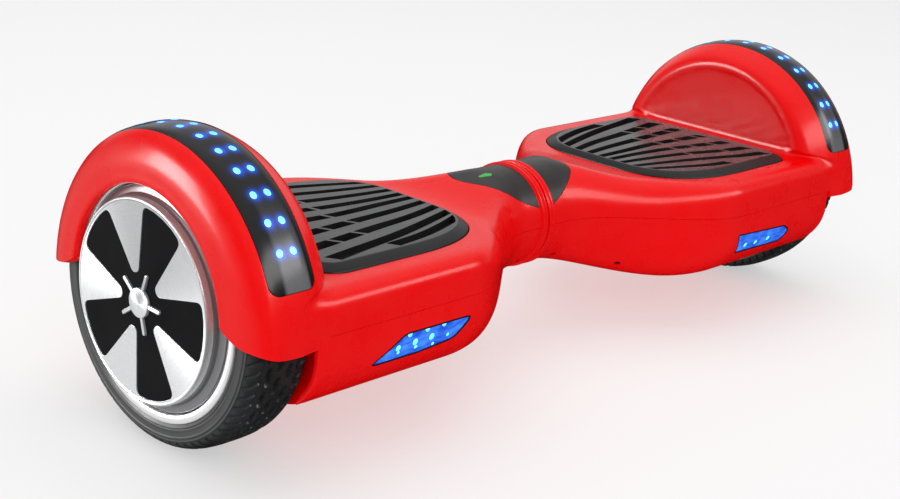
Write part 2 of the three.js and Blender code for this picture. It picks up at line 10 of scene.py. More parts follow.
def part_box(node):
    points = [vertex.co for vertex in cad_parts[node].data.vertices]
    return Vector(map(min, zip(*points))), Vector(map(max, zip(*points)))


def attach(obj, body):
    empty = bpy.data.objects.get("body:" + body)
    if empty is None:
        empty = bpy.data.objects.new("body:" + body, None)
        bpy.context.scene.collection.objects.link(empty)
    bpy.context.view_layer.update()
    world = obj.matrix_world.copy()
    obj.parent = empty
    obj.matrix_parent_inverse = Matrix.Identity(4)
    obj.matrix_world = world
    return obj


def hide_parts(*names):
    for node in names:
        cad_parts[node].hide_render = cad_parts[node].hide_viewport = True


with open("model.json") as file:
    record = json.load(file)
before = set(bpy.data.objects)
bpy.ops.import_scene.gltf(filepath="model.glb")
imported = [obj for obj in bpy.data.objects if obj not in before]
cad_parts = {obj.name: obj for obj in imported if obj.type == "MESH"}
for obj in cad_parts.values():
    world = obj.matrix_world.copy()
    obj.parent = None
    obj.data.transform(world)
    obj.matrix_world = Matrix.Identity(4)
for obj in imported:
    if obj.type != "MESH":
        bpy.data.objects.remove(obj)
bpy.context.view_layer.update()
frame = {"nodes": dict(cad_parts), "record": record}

MM = 0.001


# ---------------------------------------------------------------- sizes taken from the frame

def corners(node):
    """Lowest and highest corner of a CAD node in millimetres."""
    low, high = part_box(node)
    return np.array(low) / MM, np.array(high) / MM


TYRE_LOW, TYRE_HIGH = corners("tyre_l")
AXLE_Z = (TYRE_LOW[2] + TYRE_HIGH[2]) / 2
WHEEL_RADIUS = AXLE_Z - TYRE_LOW[2]
FENDER_OUT = corners("upper_shell_l")[1][0]
BODY_DEPTH = corners("lower_shell_l")[1][1]
BELLY_DEPTH = AXLE_Z - corners("lower_shell_l")[0][2]
PAD_TOP = corners("foot_pad_l")[1][2] - AXLE_Z
PAD_OUT = corners("foot_pad_l")[1][0]
PAD_IN = corners("foot_pad_l")[0][0]
PAD_DEPTH = corners("foot_pad_l")[1][1]
HUB_FACE = corners("hub_cover_l")[1][0]
WAIST_GAP = corners("upper_shell_l")[0][0]

# Body, in millimetres from the axle line. s is the distance from the middle of the board, and
# phi is the angle about the axle line, from straight up towards the front.
WAIST_RADIUS = 33
COLLAR_HEIGHT = 1.1
DECK_HEIGHT = 22
SHOULDER = 14
BILGE = (51, 39)
FLARE_PLAN, FLARE_DECK, FLARE_BELLY = (20, 134), (24, 84), (5, 118)
SEAM = 0.1
WALL = 3
LOWER_END = 250
WELL_RADIUS = 87.5
FOOT_DROP = 4.6


# ---------------------------------------------------------------- mesh helpers

def smoothstep(x, a, b):
    t = np.clip((np.asarray(x, float) - a) / (b - a), 0, 1)
    return t * t * (3 - 2 * t)


def lerp(a, b, t):
    return a + (b - a) * t


def signed_volume(points, faces):
    total = 0.0
    for face in faces:
        p = points[list(face)]
        total += np.einsum("ij,ij->", np.cross(p[1:-1] - p[0], p[2:] - p[0]), np.repeat(p[:1], len(p) - 2, 0))
    return total


def quad_volume(points, quads):
    p = points[quads]
    first = np.einsum("ij,ij->i", p[:, 0], np.cross(p[:, 1], p[:, 2])).sum()
    return first + np.einsum("ij,ij->i", p[:, 0], np.cross(p[:, 2], p[:, 3])).sum()


def build(name, points, faces, quads=None):
    """A mesh object from points in millimetres about the axle line; its faces are turned outwards."""
    points = np.asarray(points, float)
    volume = signed_volume(points, faces) + (quad_volume(points, quads) if quads is not None else 0)
    polygons = ([] if quads is None else quads.tolist()) + [list(f) for f in faces]
    if volume < 0:
        polygons = [f[::-1] for f in polygons]
    mesh = bpy.data.meshes.new(name)
    mesh.from_pydata(((points + (0, 0, AXLE_Z)) * MM).tolist(), [], polygons)
    mesh.validate()
    obj = bpy.data.objects.new(name, mesh)
    bpy.context.scene.collection.objects.link(obj)
    return obj


def sweep(name, rings, closed=False):
    """A solid whose cross-sections are the rings, an array of shape (sections, points, 3)."""
    rings = np.asarray(rings, float)
    m, n = rings.shape[:2]
    i = np.arange(m if closed else m - 1)[:, None]
    j = np.arange(n)[None, :]
    after, across = (i + 1) % m, (j + 1) % n
    quads = np.stack([i * n + j, i * n + across, after * n + across, after * n + j], -1).reshape(-1, 4)
    caps = [] if closed else [list(range(n))[::-1], list(range((m - 1) * n, m * n))]
    return build(name, rings.reshape(-1, 3), caps, quads)


def polar(s, r, phi):
    s, r, phi = np.broadcast_arrays(s, r, phi)
    return np.stack([s, -r * np.sin(phi), r * np.cos(phi)], -1)


def lathe(name, outline, steps=180):
    """A full ring about the axle line from a closed outline of [s, radius]."""
    outline = np.asarray(outline, float)
    phis = np.linspace(0, 2 * math.pi, steps, endpoint=False)
    return sweep(name, polar(outline[None, :, 0], outline[None, :, 1], phis[:, None]), closed=True)


def rounded(points, radius, steps=6):
    """A closed outline with each corner rounded; radius is one number or one for each corner."""
    pts = np.asarray(points, float)
    radii = np.broadcast_to(radius, len(pts))
    out = []
    for i, p in enumerate(pts):
        a, b = pts[i - 1] - p, pts[(i + 1) % len(pts)] - p
        la, lb = np.linalg.norm(a), np.linalg.norm(b)
        cosine = np.clip(a @ b / (la * lb), -1, 1)
        reach = min(radii[i] / max(math.tan(math.acos(cosine) / 2), 1e-3), 0.48 * la, 0.48 * lb)
        if reach < 0.02:
            out.append(p)
            continue
        start, end = p + a / la * reach, p + b / lb * reach
        for t in np.linspace(0, 1, steps):
            out.append((1 - t) ** 2 * start + 2 * t * (1 - t) * p + t * t * end)
    return np.array(out)


def curve_through(points, per_span=12):
    """A smooth open curve through the points."""
    p = np.asarray(points, float)
    ext = np.vstack([2 * p[0] - p[1], p, 2 * p[-1] - p[-2]])
    out = []
    for i in range(1, len(p)):
        p0, p1, p2, p3 = ext[i - 1], ext[i], ext[i + 1], ext[i + 2]
        d1, d2 = np.linalg.norm(p1 - p0) ** 0.5, np.linalg.norm(p2 - p1) ** 0.5
        d3 = np.linalg.norm(p3 - p2) ** 0.5
        m1 = (p2 - p1) + d2 * ((p1 - p0) / d1 - (p2 - p0) / (d1 + d2))
        m2 = (p2 - p1) + d2 * ((p3 - p2) / d3 - (p3 - p1) / (d2 + d3))
        for t in np.arange(per_span) / per_span:
            out.append((2 * t ** 3 - 3 * t ** 2 + 1) * p1 + (t ** 3 - 2 * t ** 2 + t) * m1
                       + (-2 * t ** 3 + 3 * t ** 2) * p2 + (t ** 3 - t ** 2) * m2)
    return np.array(out + [p[-1]])


def resample(points, fractions):
    """Points of a polyline at fractions of its length."""
    lengths = np.concatenate([[0], np.cumsum(np.linalg.norm(np.diff(points, axis=0), axis=1))])
    at = np.asarray(fractions) * lengths[-1]
    return np.stack([np.interp(at, lengths, points[:, k]) for k in range(points.shape[1])], -1)


def loft(name, layers, to_world=lambda p: p):
    """A solid through stacked outlines of equal count; each layer is (outline, height)."""
    rings = [np.column_stack([outline, np.full(len(outline), height)]) for outline, height in layers]
    return sweep(name, to_world(np.array(rings)))


def prism(name, outline, low, high, to_world=lambda p: p):
    return loft(name, [(outline, low), (outline, high)], to_world)


def facing_side(p):
    """Outlines of [s, z] stand upright and their height is y."""
    return np.stack([p[..., 0], p[..., 2], p[..., 1]], -1)


def facing_out(p):
    """Outlines of [front, up] lie in the wheel's plane and their height is s."""
    return np.stack([p[..., 2], -p[..., 0], p[..., 1]], -1)


def standing_on(centre, normal):
    """Outlines lie in the plane through the centre, and their height is along the normal."""
    n = np.array(normal, float) / np.linalg.norm(normal)
    a = np.cross(n, (0.3, 0.2, 0.9))
    a /= np.linalg.norm(a)
    b = np.cross(n, a)
    return lambda p: centre + p[..., :1] * a + p[..., 1:2] * b + p[..., 2:] * n


def cross(reach, width):
    """Outline of a cross recess."""
    return np.array([(width, width), (width, reach), (-width, reach), (-width, width), (-reach, width),
                     (-reach, -width), (-width, -width), (-width, -reach), (width, -reach), (width, -width),
                     (reach, -width), (reach, width)])


def offset(outline, distance):
    """A closed outline moved inwards by the distance."""
    p = np.asarray(outline, float)
    area = np.sum(p[:, 0] * np.roll(p[:, 1], -1) - np.roll(p[:, 0], -1) * p[:, 1])
    edge = np.roll(p, -1, 0) - np.roll(p, 1, 0)
    normal = np.stack([-edge[:, 1], edge[:, 0]], -1) * np.sign(area)
    return p + normal / np.maximum(np.linalg.norm(normal, axis=1, keepdims=True), 1e-9) * distance


def remove(obj):
    mesh = obj.data
    bpy.data.objects.remove(obj)
    bpy.data.meshes.remove(mesh)


def combine(obj, tools, operation="DIFFERENCE", solver="MANIFOLD"):
    """Cuts or joins solids one after another, and uses them up."""
    for tool in tools:
        modifier = obj.modifiers.new("combine", "BOOLEAN")
        modifier.operation = operation
        modifier.solver = solver
        modifier.object = tool
        depsgraph = bpy.context.evaluated_depsgraph_get()
        mesh = bpy.data.meshes.new_from_object(obj.evaluated_get(depsgraph))
        obj.modifiers.clear()
        old = obj.data
        obj.data = mesh
        bpy.data.meshes.remove(old)
        remove(tool)
    return obj


def shade(obj, angle=30):
    obj.data.shade_smooth()
    obj.data.set_sharp_from_angle(angle=math.radians(angle))
    return obj


def flipped(obj):
    """Moves a piece that was built on the +X half to the -X half."""
    obj.data.transform(Matrix.Diagonal((-1, 1, 1, 1)))
    obj.data.flip_normals()
    return obj


def copied(obj, name):
    copy = bpy.data.objects.new(name, obj.data.copy())
    bpy.context.scene.collection.objects.link(copy)
    return copy


def mirrored(obj, name):
    """A copy of a piece of the +X half for the -X half."""
    return flipped(copied(obj, name))


def finish_piece(obj, body, material, replaces=(), angle=30):
    shade(obj, angle)
    obj.data.materials.clear()
    for m in material if isinstance(material, (list, tuple)) else [material]:
        obj.data.materials.append(m)
    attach(obj, body)
    if replaces:
        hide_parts(*replaces)
    return obj


# ---------------------------------------------------------------- body surface

def section(s):
    """Sizes of the body's cross-section at s, which flares from the waist to the deck."""
    plan = smoothstep(s, *FLARE_PLAN)
    deck = smoothstep(s, *FLARE_DECK)
    belly = smoothstep(s, *FLARE_BELLY)
    return {
        "depth": lerp(WAIST_RADIUS, BODY_DEPTH, plan),
        "top": lerp(WAIST_RADIUS, DECK_HEIGHT, deck),
        "bottom": lerp(WAIST_RADIUS, BELLY_DEPTH, belly),
        "upper": (lerp(WAIST_RADIUS, SHOULDER, plan), lerp(WAIST_RADIUS, SHOULDER, plan)),
        "lower": (lerp(WAIST_RADIUS, BILGE[0], plan), lerp(WAIST_RADIUS, BILGE[1], plan)),
        "power": lerp(2, 2.6, plan),
    }


def body_radius(s, phi):
    """Distance from the axle line to the rounded-box body at s in the direction phi."""
    s, phi = np.broadcast_arrays(np.asarray(s, float), np.asarray(phi, float))
    cut = section(s)
    up = np.cos(phi) > 0
    height = np.where(up, cut["top"], cut["bottom"])
    width = np.where(up, cut["upper"][0], cut["lower"][0])
    rise = np.minimum(np.where(up, cut["upper"][1], cut["lower"][1]), height)
    power = np.where(up, cut["power"], 2.0)
    low, high = np.zeros(s.shape), np.full(s.shape, 200.0)
    for _ in range(34):
        middle = (low + high) / 2
        y, z = middle * np.abs(np.sin(phi)), middle * np.abs(np.cos(phi))
        across = np.maximum(0, y - cut["depth"] + width) / width
        along = np.maximum(0, z - height + rise) / rise
        inside = (y <= cut["depth"]) & (z <= height) & (across ** power + along ** power <= 1)
        low, high = np.where(inside, middle, low), np.where(inside, high, middle)
    return low


def collar(s):
    """Height of the two lips on each half's end above the waist."""
    outer = smoothstep(s, 6.6, 5.6) * smoothstep(s, 3.4, 4.4)
    inner = smoothstep(s, 2.9, 2.1) * smoothstep(s, 0.3, 1.0)
    return COLLAR_HEIGHT * np.maximum(outer, inner * 0.9) + 0.3 * smoothstep(s, 6.6, 5.6)


def skin_radius(s, phi):
    return body_radius(s, phi) + collar(s)


def skin_frame(s, phi):
    """A point on the body's skin, with the direction it faces."""
    p = polar(s, skin_radius(s, phi), phi)
    normal = np.cross(polar(s + 1, skin_radius(s + 1, phi), phi) - p,
                      polar(s, skin_radius(s, phi + 0.02), phi + 0.02) - p)
    return p, normal / np.linalg.norm(normal) * np.sign(normal @ (p * (0, 1, 1)))


# Profile of the fender as [s, radius, growth towards the feet], from its inner face to its lip.
FENDER = np.array([
    (233.3, 5, 0), (233.3, 40, 0), (233.2, 66, 0), (233.0, 71, 0), (232.6, 73.2, 0), (232.5, 75.2, 0),
    (233.0, 77.8, 1), (235.2, 81.3, 2), (239.8, 84.8, 3), (245, 87.6, 3.6), (250.4, 90.1, 4),
    (256, 91.5, 4), (263, 91.9, 4), (271, 91.3, 4.6), (278, 89.9, 6), (282, 87.2, 7.5), (285, 83.5, 8),
    (287.2, 79.2, 7.4), (288.5, 75.2, 5.5), (289.2, 71.2, 3.4), (289.6, 67.2, 1), (289.9, 64.2, 0),
    (289.7, 63, 0), (289.0, 62.3, 0), (287.6, 62.1, 0),
])
FENDER[:, 0] += FENDER_OUT - 289.5
FENDER_CURVE = curve_through(FENDER, 14)
REAR_GROWTH = 3.2
WELL = [(285.4, 62.3), (284.9, 63.0), (284.9, 74.0), (283.4, 81), (279.5, 86), (251, 87.5), (237.5, 78),
        (236.3, 72), (236.3, 10)]
WALL_FACE = 232.0


def fender_curve(phi):
    share = min(1.0, abs(phi) / (math.pi / 2)) ** 3
    growth = FENDER_CURVE[:, 2] if phi > 0 else np.minimum(FENDER_CURVE[:, 2], REAR_GROWTH)
    return np.column_stack([FENDER_CURVE[:, 0], FENDER_CURVE[:, 1] + growth * share])


# Stations over the collar at the waist, from each half's end.
NECK = np.array([0, 0.25, 0.6, 1.0, 1.4, 1.9, 2.3, 2.7, 3.1, 3.6, 4.1, 4.6, 5.1, 5.5, 5.9, 6.3, 6.8, 7.6,
                 9, 11])


# Fillet between deck and fender: its reach along the deck and up the fender, on top and at the feet.
FILLET_RUN = (6.0, 12.0)
FILLET_RISE = (6.0, 16)


def upper_ring(phi):
    """Closed outline of the upper shell in the half plane at phi."""
    curve = fender_curve(phi)
    above = curve[:, 1] - skin_radius(curve[:, 0], phi)
    k = int(np.argmax(above > 0))
    t = above[k - 1] / (above[k - 1] - above[k])
    corner = lerp(curve[k - 1], curve[k], t)
    run = lerp(*FILLET_RUN, smoothstep(abs(phi), 1.1, 1.5))
    rise = min(FILLET_RISE[0] / max(math.cos(phi), 0.3), FILLET_RISE[1])
    start_s = corner[0] - run
    start = np.array([start_s, float(skin_radius(start_s, phi))])
    rest = np.vstack([corner, curve[k:]])
    lengths = np.concatenate([[0], np.cumsum(np.linalg.norm(np.diff(rest, axis=0), axis=1))])
    tail = resample(rest, np.linspace(rise / lengths[-1], 1, 128))
    u = np.linspace(0, 1, 12)[1:-1, None]
    fillet = (1 - u) ** 2 * start + 2 * u * (1 - u) * corner + u * u * tail[0]
    stations = np.concatenate([NECK[NECK < 12] + WAIST_GAP, np.linspace(13, start_s, 66)])
    outer = np.vstack([np.column_stack([stations, skin_radius(stations, phi)]), fillet, tail])
    inner_s = np.linspace(WALL_FACE, WAIST_GAP, 22)
    inner = np.column_stack([inner_s, body_radius(inner_s, phi) - WALL])
    return np.vstack([outer, WELL, [(WALL_FACE, 10)], inner])


def angles(from_deg, to_deg, fine, coarse, edges):
    """Angles in radians, finer inside the given bands."""
    out, a = [from_deg], from_deg
    while a < to_deg - 1e-6:
        a = min(a + (fine if any(lo <= abs(a) <= hi for lo, hi in edges) else coarse), to_deg)
        out.append(a)
    return np.radians(out)


def block(name, x, y, z):
    outline = [(x[0], y[0]), (x[1], y[0]), (x[1], y[1]), (x[0], y[1])]
    return prism(name, np.array(outline, float), *z)


def polar_patch(name, span, phis, inner, outer, rows=24):
    """A thin solid over the body: span(phi) gives its ends in s, and inner and outer are radii."""
    rings = []
    for phi in phis:
        s = np.linspace(*span(phi), rows)
        rings.append(np.vstack([polar(s, inner(s, phi), phi), polar(s, outer(s, phi), phi)[::-1]]))
    return sweep(name, np.array(rings))


FOOT_RISE = 8.2
FOOT_LIP_RISE = 3.4


def foot_cutter(sign):
    """Everything under a fender foot, whose underside rises to a rounded corner at the lip."""
    s = np.linspace(LOWER_END + 0.3, FENDER_OUT + 6, 36)
    y = np.linspace(40, 110, 60)
    rows = []
    for yy in y:
        lift = FOOT_RISE * np.clip((83 - yy) / 22, 0, 1.4) ** 2.2
        out = FOOT_LIP_RISE * np.clip((s - 262) / 26, 0, 2) ** 2.4
        top = -FOOT_DROP + lift + out
        line = np.column_stack([s, np.full(len(s), sign * yy), top])
        rows.append(np.vstack([line, line[::-1] * (1, 1, 0) + (0, 0, -60)]))
    return sweep("foot_cutter", np.array(rows))


# Lights
STRIP_RADIUS = 92
STRIP = {"in": 250.0, "out": 279.5, "reach": 73.0, "corner": 6.0}


def strip_span(margin):
    half = (STRIP["out"] - STRIP["in"]) / 2 + margin
    middle = (STRIP["out"] + STRIP["in"]) / 2
    corner = STRIP["corner"]

    def span(phi):
        left = (math.radians(STRIP["reach"]) - abs(phi)) * STRIP_RADIUS + margin
        inside = np.clip(corner - left, 0, corner)
        cut = corner - math.sqrt(corner ** 2 - inside ** 2)
        return middle - half + cut, middle + half - cut
    reach = STRIP["reach"] + math.degrees(margin / STRIP_RADIUS)
    ends = corner * (1 - np.cos(np.linspace(0, math.pi / 2, 12))) / STRIP_RADIUS
    straight = math.radians(reach) - corner / STRIP_RADIUS
    middle_phis = np.linspace(-straight, straight, 150)
    low = -math.radians(reach) + ends
    phis = np.concatenate([low[:-1], middle_phis, (math.radians(reach) - ends)[::-1][1:]])
    return span, phis


def crest_radius(s, phi):
    curve = fender_curve(phi)
    outer = curve[(curve[:, 0] > 240) & (curve[:, 1] > 80)]
    return np.interp(s, outer[:, 0], outer[:, 1])


def strip_block(name, margin, bottom, top, rows=40):
    span, phis = strip_span(margin)
    return polar_patch(name, span, phis, lambda s, phi: crest_radius(s, phi) - bottom,
                       lambda s, phi: crest_radius(s, phi) + top, rows)


# Outline of each headlight as [s, height], with the rounding of its corners.
HEADLIGHTS = {
    "l": [(197, -30.6), (138, -28.6), (133.5, -13.2), (194, -16.4), (203.5, -21.6)],
    "r": [(214, -25.6), (175, -26), (148, -23.6), (134, -11.1), (188, -10.6)],
}
EYE_CORNERS = {"l": (6, 1.6, 1.6, 6, 5), "r": (2.5, 30, 12, 2.5, 16)}
BEZEL = 1.0
# Ranges of y that hold the front and back walls.
FRONT_WALL = (-112, -68)
BACK_WALL = (80, 110)

# Far edge of each waist panel as [angle in degrees, s].
TRIM_EDGE = {
    "l": [(-67, 8), (-63, 12.5), (-55, 20), (-44, 29), (-30, 35.5), (-12, 38), (8, 38.4), (24, 38), (33, 36),
          (40, 32), (47, 27), (56, 19.4), (63, 11.8), (66, 8)],
    "r": [(-67, 8), (-60, 17.5), (-50, 27), (-40, 36.5), (-30, 44), (-18, 48), (-4, 49), (10, 48), (22, 46.5),
          (31, 43.8), (39, 38), (46, 31), (53, 25), (60, 17.5), (67, 8)],
}
TRIM_START = 7.3


def trim_block(name, tag, margin, bottom, top):
    edge = curve_through(TRIM_EDGE[tag], 10)
    low, high = np.radians(edge[[0, -1], 0]) + np.array([-margin, margin]) / WAIST_RADIUS

    def span(phi):
        return TRIM_START - margin, np.interp(math.degrees(phi), edge[:, 0], edge[:, 1]) + margin
    phis = lerp(low, high, (1 - np.cos(np.linspace(0, math.pi, 100))) / 2)
    return polar_patch(name, span, phis, lambda s, phi: skin_radius(s, phi) - bottom,
                       lambda s, phi: skin_radius(s, phi) + top, 36)


# ---------------------------------------------------------------- foot pads

PAD_NOSE = (77, 55)
PAD_CORNER = 18
PAD_SLOPE = 7.2
NOSE_POWER = 2 / 2.6
NOSE_SHARE = 0.72


def pad_outline(grow):
    """Outline of a foot pad: two rounded corners at the fender and a blunt, squarish nose."""
    reach, nose_depth = PAD_NOSE
    nose_end = PAD_IN + reach
    out, depth = PAD_OUT + grow, PAD_DEPTH + grow
    straight = PAD_DEPTH - nose_depth
    corner = PAD_CORNER + grow

    def arc(middle, size, start, count, power=1.0):
        turns = np.radians(np.linspace(start, start + 90, count))
        unit = np.stack([np.cos(turns), np.sin(turns)], -1)
        return list(np.sign(unit) * np.abs(unit) ** power * size + middle)
    points = [(nose_end + 20, -depth)]
    points += arc((out - corner, -depth + corner), (corner, corner), -90, 12)
    points += arc((out - corner, depth - corner), (corner, corner), 0, 12)
    nose = (reach + grow * NOSE_SHARE, nose_depth + grow)
    points += arc((nose_end, straight), nose, 90, 34, NOSE_POWER)
    points += arc((nose_end, -straight), nose, 180, 34, NOSE_POWER)
    return np.array(points)


# Rows of slots in the tread of the pad at -X. Each row is its middle line as [x, y] points from the
# fender to the waist, and the x where thin bars cross it.
PAD_ROWS = [
    ([(-164, 58.6), (-147, 55.8), (-124, 48.5), (-90, 36)], []),
    ([(-212, 57.5), (-189, 53), (-162, 45), (-130, 36.5), (-84, 26.5)], []),
    ([(-213, 42), (-188, 37), (-158, 28.5), (-130, 23), (-84, 17)], [-190, -158]),
    ([(-213, 24), (-190, 19.5), (-155, 13), (-120, 9.5), (-84, 8.5)], [-198, -179, -160]),
    ([(-213, 3), (-190, 1), (-155, -1.5), (-120, -0.5), (-84, 0)], [-205, -184, -163]),
    ([(-213, -20), (-190, -18.5), (-155, -16), (-120, -13.5), (-84, -9)], [-200, -180, -159]),
    ([(-213, -40), (-188, -36.5), (-155, -31.5), (-120, -27), (-84, -18.5)], [-190, -169]),
    ([(-211, -58), (-189, -54), (-152, -47.5), (-120, -39.5), (-84, -29)], []),
    ([(-167, -58.8), (-140, -55.3), (-115, -48.5), (-90, -39)], []),
]
SLOT_WIDTH = (8.6, 5.2)
SLOT_SPAN = (-215, -85)
BAR_WIDTH = 2.6
BAR_SLANT = -0.46


def ribbon(points, widths):
    """Outline of a strip along a line of points, with a width for each point."""
    d = np.gradient(points, axis=0)
    d /= np.linalg.norm(d, axis=1, keepdims=True)
    n = np.stack([-d[:, 1], d[:, 0]], -1) * widths[:, None] / 2
    return np.vstack([points + n, (points - n)[::-1]])


def pad_slots(turn):
    """Outlines of all slots in a pad, with each row cut where its bars cross it."""
    side = -1 if turn else 1
    for line, bars in PAD_ROWS:
        path = curve_through(line, 8)
        cuts = [path[0, 0] - 1] + [x + offset for x in bars for offset in (-BAR_WIDTH / 2, BAR_WIDTH / 2)]
        cuts.append(path[-1, 0] + 1)
        for start, end in zip(cuts[::2], cuts[1::2]):
            x = np.linspace(max(start, path[0, 0]), min(end, path[-1, 0]), 12)
            part = np.column_stack([x, np.interp(x, path[:, 0], path[:, 1])])
            shape = ribbon(part, np.interp(x, SLOT_SPAN, SLOT_WIDTH))
            shape[:, 0] += (shape[:, 1] - np.interp(shape[:, 0], path[:, 0], path[:, 1])) * BAR_SLANT
            yield shape * (-1, side)


def pad(name, turn):
    """A foot pad with sloping sides and slots; turn swaps its front and back."""
    layers = [(0.0, DECK_HEIGHT - 2.4), (0.0, DECK_HEIGHT + 0.5), (-0.25, DECK_HEIGHT + 0.8),
              (-PAD_SLOPE + 1.0, PAD_TOP - 0.35), (-PAD_SLOPE + 0.3, PAD_TOP - 0.08),
              (-PAD_SLOPE - 0.5, PAD_TOP)]
    body = loft(name, [(pad_outline(grow), height) for grow, height in layers])
    tools = [prism("slot", rounded(shape, 0.5, 3), PAD_TOP - 4.2, PAD_TOP + 2) for shape in pad_slots(turn)]
    joined = combine(tools[0], tools[1:], "UNION")
    inside = prism("inside", pad_outline(-PAD_SLOPE - 1.3), PAD_TOP - 6, PAD_TOP + 3)
    return combine(body, [combine(joined, [inside], "INTERSECT")])


def paint_sides(obj, is_front):
    """Gives the second material to every face that isn't on the front."""
    for face in obj.data.polygons:
        face.material_index = 0 if is_front(face) else 1


def on_pad_top(face):
    return face.normal.z > 0.97 and face.center.z > (PAD_TOP - 0.3 + AXLE_Z) * MM


def on_hub_face(face):
    return abs(face.center.x) > (HUB_TOP - 3) * MM


# ---------------------------------------------------------------- wheel

SPOKES = 5
SPOKE_PHASE = 55.5
PETAL_HALF = 18.5
PETAL_RADIUS = 52.7
HUB_RADIUS = 55.5
HUB_TOP = HUB_FACE + 0.8
TREAD_PITCHES = 36

TYRE_SIDE = [  # [distance from the tyre's middle, radius] from the bead to the tread
    (15.6, 66.0), (18.8, 66.6), (19.9, 68.2), (20.2, 71.0), (20.3, 74.2), (19.6, 77.4), (17.9, 79.9),
    (15.2, 81.6), (11.5, 82.5), (6.0, 82.95), (0.0, 83.0),
]
SIDE_LINES = (68.9, 70.6, 74.6, 76.4)
# Dimples in the tread as [distance from the middle, place in the pitch].
DIMPLES = [(8.6, 0.18), (8.2, 0.52), (2.2, 0.66), (1.8, 1.0), (-4.6, 0.2), (-5.0, 0.54), (-10.8, 0.7),
           (-11.2, 1.04)]
DIMPLE_DEPTH = 2.6
SIPE_DEPTH = 1.8
RIB_DEPTH = 0.7


def tread_depth(across, phi):
    """How far the tread is cut below the crown, in millimetres."""
    pitch = 2 * math.pi / TREAD_PITCHES
    turn = np.mod(phi, pitch) / pitch
    step = pitch * WHEEL_RADIUS
    depth = np.zeros(np.broadcast(across, phi).shape)
    for place, at in DIMPLES:
        along = (np.mod(turn - at + 0.5, 1) - 0.5) * step
        side = across - place - 0.25 * along
        reach = (np.abs(along) / 3.0) ** 2.4 + (np.abs(side) / 1.8) ** 2.4
        depth = np.maximum(depth, DIMPLE_DEPTH * smoothstep(reach, 1.15, 0.7))
    for half in (0.0, 0.5):
        lean = 0.22 * np.sign(across) * (np.abs(across) - 15) / 4
        along = (np.mod(turn - 0.1 - half - lean + 0.5, 1) - 0.5) * step
        sipe = smoothstep(np.abs(along), 1.15, 0.45) * smoothstep(np.abs(across), 12.6, 13.6)
        sipe = sipe * smoothstep(np.abs(across), 19.8, 18.6)
        depth = np.maximum(depth, SIPE_DEPTH * sipe)
    wave = 13.0 + 0.5 * np.sin(turn * 2 * math.pi)
    rib = RIB_DEPTH * smoothstep(np.abs(np.abs(across) - wave), 0.8, 0.3)
    return np.maximum(depth, rib)


def tyre():
    middle = (TYRE_LOW[0] + TYRE_HIGH[0]) / 2
    side = curve_through(TYRE_SIDE, 10)
    wall, crown = side[:50], side[49:]
    side = np.vstack([resample(wall, np.linspace(0, 1, 22))[:-1], resample(crown, np.linspace(0, 1, 40))])
    section_line = np.vstack([side, side[-2::-1] * (-1, 1)])
    bead = np.array([(-12.0, 65.9), (12.0, 65.9)])
    outline = np.vstack([section_line, bead])
    across, radius = outline[:, 0], outline[:, 1].copy()
    ridges = sum(0.35 * np.exp(-((radius - line) / 0.4) ** 2) for line in SIDE_LINES)
    across = across + np.sign(across) * ridges
    count = TREAD_PITCHES * 18
    phis = np.linspace(0, 2 * math.pi, count, endpoint=False)[:, None]
    depth = tread_depth(across[None, :], phis) * (radius > 76)
    scale = WHEEL_RADIUS / 83
    surface = polar(middle + across[None, :], radius[None, :] * scale - depth, phis)
    return sweep("tyre_tread_l", surface, closed=True)


def wheel_plane(angle, radius):
    """A point in the wheel's plane as [front, up], at an angle from straight up towards the front."""
    a = math.radians(angle)
    return radius * math.sin(a), radius * math.cos(a)


def circle(radius, count=64):
    return np.array([wheel_plane(360 * k / count, radius) for k in range(count)])


def petals():
    """Outline of the five black petals, joined round the middle."""
    points, radii = [], []
    for k in range(SPOKES):
        spoke = SPOKE_PHASE + 360 / SPOKES * k
        for turned in (-9, 9):
            points.append(wheel_plane(spoke + turned, 16.2))
            radii.append(4.0)
        petal = spoke + 180 / SPOKES
        for share in (-1, -0.45, 0, 0.45, 1):
            points.append(wheel_plane(petal + share * PETAL_HALF, PETAL_RADIUS))
            radii.append(5.5 if abs(share) == 1 else 0.6)
    return rounded(points, radii, 6)


def hub_cover():
    """The silver disc with a flared side and five petal-shaped recesses."""
    rim_edge = [(282.6, 53.2), (281.8, 57.4), (281.7, 60.9), (282.2, 61.3), (282.9, 60.6), (283.7, 58.6),
                (284.6, 57.0), (285.8, 56.0), (287.2, HUB_RADIUS), (HUB_TOP - 1.0, HUB_RADIUS),
                (HUB_TOP - 0.35, HUB_RADIUS - 0.2), (HUB_TOP, HUB_RADIUS - 0.8), (HUB_TOP, HUB_RADIUS - 1.3),
                (HUB_TOP - 0.3, HUB_RADIUS - 1.9), (HUB_TOP - 0.35, 40), (HUB_TOP - 0.45, 20),
                (HUB_TOP - 0.5, 3), (HUB_TOP - 2.6, 3), (HUB_TOP - 2.6, 53.2)]
    disc = lathe("hub_disc_l", rim_edge, 240)
    return combine(disc, [prism("petals", petals(), HUB_TOP - 1.5, HUB_TOP + 3, facing_out)])


def hub_inlay():
    shape = petals()
    layers = [(offset(shape, 0.12), HUB_TOP - 1.4), (offset(shape, 0.12), HUB_TOP - 0.95),
              (offset(shape, 0.45), HUB_TOP - 0.7)]
    return loft("hub_inlay_face_l", layers, facing_out)


